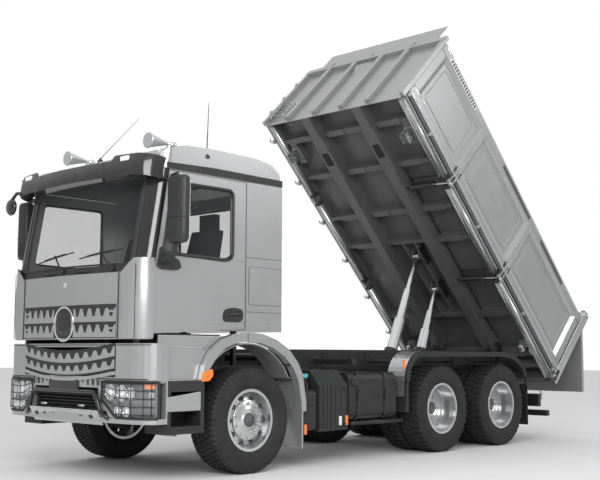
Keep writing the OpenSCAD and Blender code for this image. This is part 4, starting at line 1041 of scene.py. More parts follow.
def add_headlights():
    """Lamp units with bowls, lenses, cover and guard."""
    for side, word in SIDES:
        corner = [930 + (BUMPER_X - 932) * math.sin(LENS_CORNER * i) for i in range(11)]
        xs = spread(612, 930, 6)[:-1] + corner
        body = "chassis"
        foot = [604 + 150 * min(1, max(0, 1 - (x - 640) / 170)) for x in xs]

        def band(out, ks, low=foot):
            return [[bumper_point(side * x, z0 + (944 - z0) * k, out) for x, z0 in zip(xs, low)] for k in ks]

        pan = shell(band(-46, (0, 1)), 6, (0, 1, 0))
        pan.piece(f"{word}_lamp_pan", "gloss_black", body)
        filler = shell([[bumper_point(side * x, 604 + (z0 - 604) * k, 1) for x, z0 in zip(xs[:9], foot[:9])]
                        for k in (0, 1)], 40, (0, 1, 0))
        filler.piece(f"{word}_lamp_corner", "silver_paint", body, bevel=2)
        fog = shell([[bumper_point(side * x, z, 4) for x in (640, 670, 700)] for z in (612, 662)], 12,
                    (0, 1, 0))
        fog.piece(f"{word}_fog_lamp", "gloss_black", body, bevel=2)
        bezel = Shape()
        loop = list(zip(xs, foot)) + [(x, 944) for x in reversed(xs)]
        line = [bumper_point(side * x, z, -2) for x, z in loop]
        bezel.tube(line, 14, closed=True)
        bezel.tube([bumper_point(side * x, 722, -14) for x in xs[2:]], 7)
        bezel.piece(f"{word}_lamp_bezel", "black_plastic", body)
        bowls = Shape()
        for x, z, r in ((720, 840, 74), (880, 836, 74), (1010, 836, 56), (830, 664, 48), (950, 664, 48)):
            p = Vector(bumper_point(side * x, z, -8))
            bowls.lathe([(p.y + 34, 10), (p.y + 30, r * 0.5), (p.y + 16, r * 0.86), (p.y, r),
                         (p.y - 3, r + 4),
                         (p.y + 2, r + 6)], (p.x, 0, z), "y", 32)
        bowls.piece(f"{word}_lamp_bowls", "chrome", body)
        lens = Shape()
        for x, z, r in ((720, 840, 44), (880, 836, 44), (830, 664, 28), (950, 664, 28)):
            p = Vector(bumper_point(side * x, z, -8))
            lens.lathe([(p.y + 20, r), (p.y + 4, r * 0.96), (p.y - 4, r * 0.6), (p.y - 6, 0.5)],
                       (p.x, 0, z), "y", 28)
        lens.piece(f"{word}_lamp_lenses", "white_lens", body)
        cover = shell(band(-1, (0.01, 0.5, 0.99)), 4, (0, 1, 0))
        cover.piece(f"{word}_lamp_cover", "lamp_glass", body)
        guard = Shape()
        for k in (0.1, 0.32, 0.54, 0.76, 0.95):
            guard.tube(band(13, (k,))[0][:-2], 4)
        for i in (1, 5, 8, 11, 13):
            guard.tube([row[i] for row in band(15, spread(0.05, 0.97, 5))], 4)
        guard.piece(f"{word}_lamp_guard", "chassis_black", body)
        blinker = shell([[bumper_point(side * x, z, -20) for x in xs[11:15]] for z in (880, 930)], 10,
                        (0, 1, 0))
        blinker.piece(f"{word}_front_indicator", "amber", body, bevel=3)
    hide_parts("headlights")


def add_bumper_details():
    """Blank plate, bar, skid plate, vent and tow eyes."""
    plate = Shape().prism(rounded([(-260, 838), (260, 838), (260, 950), (-260, 950)], 14), "y", -1444, -1430)
    plate.piece("front_plate", "black_plastic", "chassis", bevel=4)
    plate = Shape().prism(rounded([(-246, 850), (246, 850), (246, 938), (-246, 938)], 10), "y", -1447, -1443)
    plate.piece("front_plate_face", "gloss_black", "chassis", bevel=1)
    frame_bar = Shape()
    line = [(-720, -1400, 590), (-640, -1432, 640), (-560, -1440, 800), (-520, -1440, 836), (520, -1440, 836),
            (560, -1440, 800), (640, -1432, 640), (720, -1400, 590)]
    frame_bar.tube(densify(line, 80, closed=False), 22, n=14)
    frame_bar.piece("bumper_bar", "gloss_black", "chassis")
    skid = Shape()
    skid.prism([(-1380, 520), (-1440, 640), (-1448, 664), (-1430, 664), (-1366, 524)], "x", -600, 600)
    for i in range(28):
        skid.box((-588 + i * 43, -1458, 655), (-566 + i * 43, -1440, 668))
    skid.piece("skid_plate", "rim_silver", "chassis", bevel=5, slot="bed_silver")
    cuts = Shape()
    for i in range(7):
        x = -500 + i * 160
        cuts.loft([[(x + dx, y, z) for dx, (y, z) in ((0, low), (46, low), (16, high), (-30, high))]
                   for low, high in (((-1409, 560), (-1434, 610)), ((-1400, 560), (-1425, 610)))],
                  smooth=False)
    cuts.piece("skid_cuts", "black_plastic", "chassis")
    slats = Shape()
    for z in spread(672, 868, 6):
        slats.prism([(-1400, z), (-1330, z + 14), (-1330, z + 20), (-1402, z + 7)], "x", -556, 556)
    slats.box((-566, -1340, 655), (566, -1330, 885))
    slats.piece("lower_vent", "black_plastic", "chassis", bevel=2)
    hooks = Shape()
    for x in (-330, 330):
        hooks.tube([(x - 34, -1420, 700), (x - 34, -1448, 704), (x + 34, -1448, 704),
                    (x + 34, -1420, 700)], 13)
    hooks.piece("front_tow_eyes", "zinc", "chassis")
    lips = Shape()
    lips.tube([bumper_point(x, 968, 3) for x in spread(-1180, 1180, 40)], 5)
    lips.tube([bumper_point(x, 1290, 3) for x in spread(-1200, 1200, 40)], 4)
    lips.piece("bumper_seams", "black_plastic", "chassis")
    grate = Shape()
    for x in spread(-560, 560, 14):
        grate.prism([(-1425, 900), (-1432, 962), (-1426, 962), (-1419, 900)], "x", x - 12, x + 12)
    grate.piece("bumper_slots", "black_plastic", "chassis", bevel=2)


def add_steps():
    """Treads, covers, skirts and side indicators."""
    for side, word in SIDES:
        treads = Shape()
        for z in (662, 852):
            treads.box((1010, -1060, z - 4), (1236, -702, z + 6))
            for i in range(9):
                for k in range(3):
                    treads.rod((1050 + k * 70, -1040 + i * 40, z + 4),
                               (1050 + k * 70, -1040 + i * 40, z + 11), 11, 7, n=8)
        for i in range(9):
            treads.box((1225, -1090 + i * 48, 447), (1243, -1066 + i * 48, 462))
        treads.box((1236, -1105, 500), (1246, -650, 520))
        panel = Shape().prism(rounded([(-1100, 966), (-1100, 1338), (-705, 1338), (-705, 1130),
                                       (-705, 966)], 20), "x",
                              1148, 1172)
        panel.tube([(1170, y, 1240 - (y + 1100) * 0.02) for y in spread(-1095, -715, 6)], 7)
        if side < 0:
            treads.flip()
            panel.flip()
        cover = Shape().prism([(-1112, 664), (-1112, 800), (-700, 846), (-700, 664)], "x", side * 1236,
                              side * 1248)
        cover.piece(f"{word}_step_cover", "silver_paint", "chassis", bevel=6)
        treads.piece(f"{word}_step_treads", "black_plastic", "chassis", bevel=2)
        panel.piece(f"{word}_side_skirt", "silver_paint", "chassis", bevel=6)
        lamp = Shape().prism(rounded([(-705, 938), (-690, 1030), (-560, 1062), (-548, 1000), (-600, 944)],
                                     14), "x",
                             side * 1246, side * 1256)
        lamp.piece(f"{word}_side_indicator", "amber", "chassis", bevel=3)


def add_front_mudguard_trim():
    """Painted lips, splits and mudflaps of the front arches."""
    for side, word in SIDES:
        lip = Shape()
        lip.tube([(side * 1248, y, z) for y, z in densify(
            [(-700, 958), (-660, 1102), (-560, 1250), (-420, 1350), (-250, 1408), (-80, 1424), (120, 1412),
             (330, 1352),
             (520, 1250), (660, 1110), (742, 960)], 50, closed=False)], 5)
        lip.piece(f"{word}_arch_lip", "silver_paint", "chassis")
        split = Shape()
        split.tube([(side * 1249, -80, z) for z in (1334, 1422)], 3)
        split.box((side * 1200 - 48, 540, 1085), (side * 1200 + 46, 700, 1100))
        split.piece(f"{word}_arch_split", "black_plastic", "chassis", bevel=2)
        flap = Shape().prism([(side * 870, 215), (side * 1215, 215), (side * 1215, 960),
                              (side * 870, 960)], "y", 744, 752)
        for z in spread(260, 900, 16):
            flap.tube([(side * 885, 753, z), (side * 1200, 753, z)], 3, n=6)
        flap.piece(f"{word}_front_mudflap", "hose", "chassis", bevel=2)


# ---------------------------------------------------------------- chassis and side equipment

def add_rail_fittings():
    """Bolts, air lines and subframe plates along the rails."""
    bolts = Shape()
    for y in [v for base in (-1130, 1230, 1800, 2450, 3600, 3960, 4300, 5050, 5690)
              for v in (base - 40, base + 40)]:
        for z in (870, 900, 930):
            bolts.rod((RAIL_X, y, z), (RAIL_X + 11, y, z), 13, n=6)
    for y in spread(1000, 5560, 19):
        bolts.rod((RAIL_X, y, 1050), (RAIL_X + 9, y, 1050), 9, n=6)
    bolts.mirror().piece("rail_bolts", "chassis_black", "chassis")
    lines = Shape()
    for k, z in enumerate((985, 1003, 1019)):
        lines.tube([(RAIL_X + 9, y, z + 4 * math.sin(y / 210 + k)) for y in spread(560, 5600, 60)], 6, n=8)
    lines.mirror().piece("air_lines", "hose", "chassis")
    plates = Shape()
    for y in (1150, 1950, 2750, 3350, 4650, 5350):
        plates.box((RAIL_X, y - 55, 1020), (RAIL_X + 8, y + 55, 1225))
        for z in (1045, 1110, 1180, 1210):
            plates.rod((RAIL_X + 8, y - 30, z), (RAIL_X + 18, y - 30, z), 11, n=6)
            plates.rod((RAIL_X + 8, y + 30, z), (RAIL_X + 18, y + 30, z), 11, n=6)
    plates.mirror().piece("subframe_plates", "chassis_black", "chassis", bevel=2)


def add_side_boxes():
    """Battery cover, additive tank and side markers."""
    ribs = Shape()
    chamfer = [(1191, 372), (1191, 856), (1040, 1031)]
    for y in (1066, 1130, 1194, 1258):
        ribs.loft([[(x + 9, y, z + 4), (x + 9, y + 40, z + 4), (x - 12, y + 46, z - 12),
                    (x - 12, y - 6, z - 12)] for x, z in chamfer], smooth=False)
    for y in (1330, 1420, 1510):
        ribs.loft([[(x + 5, y, z + 2), (x + 5, y + 14, z + 2), (x - 12, y + 14, z - 12), (x - 12, y, z - 12)]
                   for x, z in chamfer], smooth=False)
    ribs.box((1180, 1050, 368), (1197, 1530, 392))
    for y in (1100, 1480):
        ribs.rod((1190, y, 820), (1204, y, 820), 16, n=12)
        ribs.box((1188, y - 14, 400), (1204, y + 14, 452))
    ribs.piece("battery_cover_ribs", "black_plastic", "chassis", bevel=4)
    tank = Shape()
    for z in (470, 560, 650):
        tank.tube([(1181, 830, z), (1183, 915, z), (1181, 1002, z)], 7)
    tank.box((1176, 812, 700), (1186, 1018, 712))
    tank.tube([(1080, 915, 900), (1150, 900, 880), (1175, 860, 800)], 14)
    tank.piece("additive_tank_ribs", "black_plastic", "chassis", bevel=3)
    cap = Shape()
    cap.lathe([(948, 30), (950, 46), (958, 50), (984, 48), (992, 40), (994, 0.5)], (1080, 915, 0), "z", 24)
    for t in turn(14):
        p = Vector((1080 + 49 * math.cos(t), 915 + 49 * math.sin(t), 955))
        cap.rod(p, p + Vector((0, 0, 28)), 3.5, n=6)
    cap.tube([(1110, 915, 970), (1150, 905, 985), (1160, 880, 960)], 10)
    cap.piece("additive_cap", "blue_cap", "chassis")
    for y, z, name in ((1508, 470, "tank_marker"), (830, 400, "front_marker"), (2495, 1090, "guard_marker")):
        for side, word in SIDES:
            x = 1246 if name == "guard_marker" else 1191
            lamp = Shape().prism(rounded([(y - 20, z - 55), (y + 20, z - 55), (y + 20, z + 55),
                                          (y - 20, z + 55)], 8),
                                 "x", side * (x - 2), side * (x + 12))
            lamp.piece(f"{word}_{name}", "amber", "chassis", bevel=4)
    strip = Shape().prism(rounded([(1385, 420), (1425, 420), (1425, 520), (1385, 520)], 6), "x", 1188, 1200)
    strip.piece("cover_reflector", "blank_plate", "chassis", bevel=2)


def add_fuel_tank_details():
    """Straps, end plates, caps and side guards."""
    loop = rounded([(632, 462), (1188, 462), (1188, 1008), (632, 1008)], 96, 8)
    straps = Shape()
    for y in (1735, 2230):
        straps.loft([[(x, yy, z) for x, z in loop] for yy in (y - 31, y + 31)], caps=False)
        straps.box((1182, y - 24, 690), (1204, y + 24, 780))
        straps.rod((1196, y, 760), (1196, y, 812), 9)
    straps.piece("tank_straps", "black_plastic", "chassis", bevel=2)
    body = Shape()
    for y in (1567, 2404):
        body.loft([[(x, yy, z) for x, z in rounded([(644, 474), (1176, 474), (1176, 996), (644, 996)], 88, 8)]
                   for yy in (y, y + 24)], caps=True)
    for z in (560, 735, 910):
        body.tube([(1178, y, z) for y in spread(1600, 2400, 6)], 8)
    body.lathe([(1160, 64), (1192, 62), (1200, 50), (1204, 0.5)], (0, 1660, 900), "x", 32)
    body.lathe([(990, 56), (1010, 56), (1016, 46), (1017, 0.5)], (1000, 1640, 0), "z", 32)
    body.piece("fuel_tank_details", "tank_black", "chassis", bevel=3)
    rail = Shape()
    rail.tube([(1205, 1560, 430), (1205, 2500, 430)], 24)
    for y in (1640, 2360):
        rail.tube([(1205, y, 430), (900, y, 440), (700, y, 470)], 16)
    rail.mirror().piece("side_guard_rails", "chassis_black", "chassis")


def add_right_side_details():
    """Silencer shield and air tank bands."""
    body = Shape()
    for y in (1040, 1500):
        body.box((-1186, y - 20, 394), (-1174, y + 20, 1006))
    for z in spread(460, 940, 8):
        body.box((-1188, 1120, z), (-1174, 1420, z + 24))
    body.rod((-760, 1640, 700), (-760, 1710, 700), 66, 60, n=32)
    body.piece("silencer_shield", "tank_black", "chassis", bevel=4)
    bands = Shape()
    for y in (1800, 1990, 2250, 2440):
        for z in (560, 850):
            bands.lathe([(y - 16, 131), (y - 16, 135), (y + 16, 135), (y + 16, 131)], (-1020, 0, z), "y", 48)
    bands.piece("air_tank_bands", "zinc", "chassis")


BOGIE_Y = WHEELBASE + BOGIE_GAP / 2


def add_running_gear():
    """Spring leaves, axle covers, dampers and steering box."""
    springs = Shape()
    for k, half in enumerate((720, 640, 560, 470, 380, 290)):
        arch = [(y, 585 - k * 13 + (y / 760) ** 2 * 76) for y in spread(-half, half, 12)]
        springs.loft([[(388, y, z), (462, y, z), (462, y, z + 9), (388, y, z + 9)] for y, z in arch],
                     smooth=False)
    for y in (-52, 52):
        for x in (394, 456):
            springs.rod((x, y, 470), (x, y, 640), 10, n=10)
            springs.rod((x, y, 462), (x, y, 486), 17, n=6)
    for s in (-1, 1):
        springs.rod((380, s * 735, 690), (472, s * 735, 690), 26)
    for k in range(6):
        z = 700 + k * 16
        half = BOGIE_GAP / 2 + 20 - k * 95
        springs.box((487, BOGIE_Y - half, z), (577, BOGIE_Y + half, z + 13))
    for y in (BOGIE_Y - 90, BOGIE_Y + 90):
        for x in (500, 560):
            springs.rod((x, y, 640), (x, y, 868), 12, n=10)
            springs.rod((x, y, 862), (x, y, 884), 20, n=6)
    springs.mirror().piece("spring_leaves", "spring_steel", "chassis", bevel=2)
    axle = Shape()
    for y in (WHEELBASE, WHEELBASE + BOGIE_GAP):
        for t in turn(12):
            p = Vector((160 * math.cos(t), y - 84, TYRE_R + 160 * math.sin(t)))
            axle.rod(p, p + Vector((0, -14, 0)), 13, n=6)
        axle.lathe([(y + 150, 130), (y + 178, 110), (y + 190, 60), (y + 192, 0.5)], (0, 0, TYRE_R), "y", 40)
        for s in (-1, 1):
            axle.lathe([(s * 612, 140), (s * 600, 130), (s * 596, 80)], (0, y, TYRE_R), "x", 40)
            axle.rod((s * 540, y + 110, TYRE_R + 60), (s * 420, y + 110, TYRE_R + 60), 70, 62, n=24)
    axle.piece("axle_details", "chassis_black", "chassis")
    shocks = Shape()
    for s in (-1, 1):
        shocks.rod((s * 430, -230, 560), (s * 430, -330, 800), 30)
        shocks.rod((s * 430, -330, 800), (s * 430, -400, 960), 40)
    shocks.piece("front_shock_absorbers", "barrel_black", "chassis")
    link = Shape()
    link.tube([(500, 140, 515), (500, -300, 560), (500, -620, 700)], 20)
    link.rod((430, -640, 620), (520, -640, 620), 60)
    link.box((400, -720, 560), (RAIL_X, -560, 900))
    link.piece("steering_box", "cast_grey", "chassis", bevel=8)


def add_engine_details():
    """Rocker covers, sump, pulley and radiator fins."""
    block = Shape()
    for y in spread(-900, 340, 6):
        block.box((-340, y - 60, 1300), (340, y + 60, 1392))
        block.rod((300, y, 1180), (352, y, 1150), 42)
    block.box((-260, -880, 600), (260, 380, 650))
    block.rod((0, -1000, 900), (0, -1060, 900), 110, n=32)
    block.piece("engine_details", "cast_grey", "chassis", bevel=8)
    core = Shape()
    for x in spread(-360, 360, 36):
        core.box((x - 3, -1246, 640), (x + 3, -1240, 1370))
    core.piece("radiator_fins", "spring_steel", "chassis")


def guard_path(lift):
    """The rear mudguard's top line [y, z]."""
    left = [(WHEELBASE - 430 - (310 + lift) * math.cos(math.radians(a)),
             880 + (360 + lift) * math.sin(math.radians(a)))
            for a in range(0, 91, 10)]
    right = [(WHEELBASE + BOGIE_GAP + 20 + (620 + lift) * math.cos(math.radians(a)),
              880 + (360 + lift) * math.sin(math.radians(a))) for a in range(90, -1, -10)]
    return left + right


def add_rear_mudguard_details():
    """Edges of the rear guards and the studded sheet ahead of the wheels."""
    for side, word in SIDES:
        edge = Shape()
        edge.tube([(side * 1246, y, z) for y, z in guard_path(-4)], 9)
        edge.tube([(side * 1246, y, z) for y, z in guard_path(-52)], 6)
        edge.piece(f"{word}_guard_edges", "black_plastic", "chassis")
        sheet = Shape()
        path = [(y, z) for y, z in guard_path(3) if y < WHEELBASE - 420]
        sheet.loft([[(side * 940, y, z), (side * 1206, y, z), (side * 1206, y + 2, z + 3),
                     (side * 940, y + 2, z + 3)]
                    for y, z in [(WHEELBASE - 743, 700)] + path], smooth=False)
        sheet.piece(f"{word}_guard_front_sheet", "zinc_plate", "chassis")


def add_rear_end():
    """Rear lamps, blank plate, bar trim, a coiled line and mudflaps."""
    lamps = Shape()
    for s in (-1, 1):
        lamps.box((s * 985 - 150, 5786, 470), (s * 985 + 150, 5852, 650))
    lamps.piece("rear_lamp_boxes", "black_plastic", "chassis", bevel=10)
    for name, x0, x1, finish in (("tail", 850, 930, "red_lens"), ("stop", 935, 1010, "red_lens"),
                                 ("reverse", 1015, 1060, "white_lens"), ("turn", 1065, 1118, "amber")):
        lens = Shape()
        for s in (-1, 1):
            lens.prism(rounded([(s * x0, 500), (s * x1, 500), (s * x1, 620), (s * x0, 620)], 10), "y",
                       5850, 5866)
        lens.piece(f"{name}_lamps", finish, "chassis", bevel=4)
    plate = Shape().prism(rounded([(-260, 420), (260, 420), (260, 530), (-260, 530)], 10), "y", 6042, 6048)
    plate.piece("rear_plate", "blank_plate", "chassis", bevel=2)
    bar = Shape()
    for s in (-1, 1):
        bar.prism(rounded([(5962, 332), (6038, 332), (6038, 408), (5962, 408)], 12), "x", s * 1148, s * 1160)
        for k in range(7):
            x = s * (300 + k * 120)
            bar.box((x - 22, 6036, 350), (x + 22, 6044, 390))
    bar.piece("underrun_trim", "black_plastic", "chassis", bevel=3)
    coil = Shape()
    coil.tube([(1120 + 16 * math.cos(t * 0.9), 5880 + 16 * math.sin(t * 0.9),
                690 - t * 1.9) for t in range(0, 66)], 4,
              n=8)
    coil.piece("coiled_line", "zinc", "chassis")
    flaps = Shape()
    for s in (-1, 1):
        flaps.prism([(s * 940, 240), (s * 1230, 240), (s * 1230, 800), (s * 940, 800)], "y", 5322, 5330)
    flaps.piece("rear_mudflaps", "hose", "chassis", bevel=2)


# ---------------------------------------------------------------- sun visor and skirts

def visor_point(x, up, out=195.0):
    """A point on the visor: the screen's lean, set forward, wrapped back at its ends."""
    bow = 60 * (min(abs(x), 960) / 930) ** 2
    wrap = 0
    if abs(x) > 960:
        wrap = 230 * (1 - math.sqrt(max(0, 1 - ((abs(x) - 960) / 215) ** 2)))
    y = bow + wrap - out
    return (x, SCREEN_FOOT_Y + y * math.cos(RAKE) + up * math.sin(RAKE),
            SILL_Z - y * math.sin(RAKE) + up * math.cos(RAKE) - out * math.sin(RAKE))


def visor_top(x):
    """The visor's upper edge steps up towards its ends."""
    step = min(1, max(0, (abs(x) - 640) / 70))
    return 1112 + 52 * step * step * (3 - 2 * step)


def add_visor():
    """The smoked visor with its lip, brackets and lamps."""
    ends = [960 + 215 * math.sin(math.radians(10 * i)) for i in range(1, 10)]
    half = spread(0, 620, 12) + spread(640, 710, 5) + [780, 860, 920, 960] + ends
    xs = [-x for x in reversed(half[1:])] + half
    rows = []
    for k in spread(0, 1, 6):
        rows.append([visor_point(x, 942 + (visor_top(x) - 942) * k,
                                 195 + 14 * math.sin(math.pi * k)) for x in xs])
    rows = [[(x, max(y, -1464), z) for x, y, z in row] for row in rows]
    visor = shell(rows, 7, (0, 1, 0)).piece("smoked_visor", "visor_plastic", "cab", bevel=2)
    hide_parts("sun_visor")
    under = shell([[visor_point(x, 944, 188 - 150 * k) for x in xs] for k in (0, 0.5, 1)], 5, (0, 0, 1))
    under.piece("visor_lower_lip", "gloss_black", "cab", bevel=1)
    bolts = Shape()
    for x in (-1080, -560, 560, 1080):
        for up in (970, 1130 if abs(x) > 700 else 1080):
            p = Vector(visor_point(x, up, 200))
            bolts.rod(p + Vector((0, 16, 0)), p + Vector((0, -8, 0)), 12)
    for x in (-760, -260, 260, 760):
        p = Vector(visor_point(x, 1010, 184))
        bolts.tube([p, p + Vector((0, 60, 16)), p + Vector((0, 110, -30)), p + Vector((0, 40, -40))], 8)
        bolts.tube([p, p + Vector((0, 150, 30))], 8)
    bolts.piece("visor_brackets", "gloss_black", "cab")
    for x, word in ((-860, "right"), (860, "left")):
        p = Vector(visor_point(x, 1118, 212))
        lamp = Shape().box((x - 60, max(p.y - 6, -1464), p.z - 24), (x + 60, p.y + 22, p.z + 24))
        lamp.piece(f"{word}_visor_lamp", "white_lens", "cab", bevel=6)


def add_skirts():
    """Painted panel below the door, down to the step box, cut round the arch."""
    arch = [(-702, 960), (-662, 1104), (-562, 1254), (-422, 1354), (-330, 1386)]
    for side, word in SIDES:
        panel = Shape()
        outline = [(-1176, 960), (-1176, 1386)] + list(reversed(arch))
        panel.prism(outline, "x", side * 1150, side * 1180)
        panel.piece(f"{word}_skirt", "silver_paint", "chassis", bevel=7)
        lip = Shape().tube([(side * 1181, y, 1290 - (y + 1165) * 0.06) for y in spread(-1165, -600, 8)], 6)
        lip.piece(f"{word}_skirt_crease", "silver_paint", "chassis")
        # A black strip filling the gap between the door and the skirt: painted shade
        dark = Shape().box((side * 1140 - 14, -1176, 1386), (side * 1140 + 14, -380, 1399))
        dark.piece(f"{word}_sill_gap_shade", "black_plastic", "chassis", bevel=2)
        baffle = Shape().prism(rounded([(-1196, 1350), (-640, 1350), (-640, 1412), (-1196, 1412)], 8), "x",
                               side * 1000, side * 1010)
        baffle.piece(f"{word}_floor_baffle", "black_plastic", "cab", bevel=2)
        side_close = Shape().box((side * 1188 - 52, -1190, 930), (side * 1188 + 50, -706, 962))
        side_close.piece(f"{word}_step_top", "silver_paint", "chassis", bevel=8)


# ---------------------------------------------------------------- bed

POST_U = [220, 2060, 3700, 4990]
CRANK_U = [2060, 3700]


def bed_post_cover(shape, u, low_w, high_w):
    """A wide post with sloping flanks."""
    x0, x1 = BED_IN_X + 8, BED_IN_X + WALL_T
    ring = [(x0, u - 118), (x1, u - 66), (x1, u + 66), (x0, u + 118)]
    shape.loft([[(x, v, w) for x, v in ring] for w in (low_w, high_w)], smooth=False)


def add_wall_panels():
    """Pressings, edges and bands of the side walls."""
    for side, word, low_w, body in ((1, "left", 166, "left_wall"), (-1, "right", 60, "right_wall")):
        ribs = Shape()
        base, top = low_w + 149, BED_WALL_H - 109
        for u in POST_U[1:3]:
            bed_post_cover(ribs, u, base, top)
            for k in (-1, 1):
                ribs.tube([(BED_IN_X + WALL_T, u + k * 30, w) for w in (base + 10, top - 10)], 6)
        x0, x1 = BED_IN_X + 8, BED_IN_X + WALL_T
        for w, rise in ((base, 58), (top, -58)):
            ribs.prism([(x0, w - rise * 0.02), (x1 - 2, w - rise * 0.02), (x0 + 2, w + rise)], "y", 230, 4980)
        for u, rise in ((282, 70), (4928, -70)):
            ribs.prism([(x0, u), (x1 - 2, u), (x0 + 2, u + rise)], "z", base, top)
        for a, b in zip(POST_U, POST_U[1:]):
            frame_line = [(a + 200, base + 110), (b - 200, base + 110), (b - 200, top - 110),
                          (a + 200, top - 110)]
            line = [(BED_IN_X + 10, u, w) for u, w in densify(rounded(frame_line, 60), 120)]
            ribs.tube(line, 7, closed=True)
        if side < 0:
            ribs.flip()
        ribs.piece(f"{word}_wall_pressings", "bed_silver", body, BED, bevel=4)
        trim = Shape()
        trim.tube([(BED_IN_X + WALL_T - 2, u, low_w + 128) for u in spread(170, 5040, 16)], 15)
        trim.tube([(BED_IN_X + WALL_T - 4, u, low_w + 26) for u in spread(170, 5040, 16)], 11)
        trim.tube([(BED_IN_X + WALL_T - 4, u, BED_WALL_H - 6) for u in spread(170, 5040, 16)], 12)
        if side < 0:
            trim.flip()
        trim.piece(f"{word}_wall_edges", "rim_silver", body, BED, slot="bed_silver")
        bands = Shape()
        x = side * (BED_IN_X + WALL_T)
        for u0, u1 in ((900, 1720), (2140, 3090)):
            bands.box((x - 2, u0, BED_WALL_H - 88), (x + side * 3, u1, BED_WALL_H - 30))
        bands.piece(f"{word}_dark_bands", "dark_band", body, BED, bevel=1)
        card = Shape().box((x - 2, 4050, BED_WALL_H - 92), (x + side * 2, 4850, BED_WALL_H - 22))
        card.piece(f"{word}_blank_card", "blank_plate", body, BED, bevel=1)
        card = Shape()
        for i in range(16):
            u = 4070 + i * 48
            card.box((x + side * 2, u, BED_WALL_H - 84), (x + side * 3.5, u + 30, BED_WALL_H - 30))
        card.piece(f"{word}_card_squares", "dark_band", body, BED)


def add_bed_edges():
    """Rounded edge rails, caps, clamps and cranks."""
    spans = [(100, 1985), (2135, 3625), (3775, 5058)]
    rail = Shape()
    for u0, u1 in spans:
        rail.prism(rounded([(1100, 24), (1193, 24), (1193, 112), (1100, 112)], 42, 6), "y", u0, u1,
                   smooth=True)
        rail.prism(rounded([(1150, 118), (1196, 118), (1196, 142), (1150, 142)], 10), "y", u0, u1)
    rail.mirror().piece("edge_rails", "rim_silver", "bed", BED, slot="underbody_silver")
    caps = Shape()
    for u in [v for span in spans for v in span]:
        caps.prism(rounded([(1094, 18), (1199, 18), (1199, 150), (1094, 150)], 40, 6), "y", u - 9, u + 9)
    caps.mirror().piece("edge_rail_caps", "black_plastic", "bed", BED, bevel=2)
    clamps = Shape()
    for u in CRANK_U:
        for s in (-1, 1):
            clamps.prism(rounded([(1202, 196), (1262, 196), (1262, 306), (1202, 306)], 14), "y",
                         u + s * 62 - 8,
                         u + s * 62 + 8)
    clamps.piece("crank_clamps", "black_plastic", "left_wall", BED, bevel=3)
    cranks = Shape()
    for u in CRANK_U:
        for s in (-1, 1):
            cranks.prism(rounded([(1214, 12), (1250, 12), (1264, 116), (1266, 258), (1242, 264),
                                  (1238, 150), (1208, 64)],
                                 12), "y", u + s * 36 - 5, u + s * 36 + 5)
            cranks.rod((1230, u + s * 40, 35), (1230, u + s * 52, 35), 25)
            cranks.rod((1252, u + s * 41, 225), (1252, u + s * 50, 225), 14, n=6)
    cranks.piece("crank_plates", "zinc", "left_wall", BED, bevel=2)


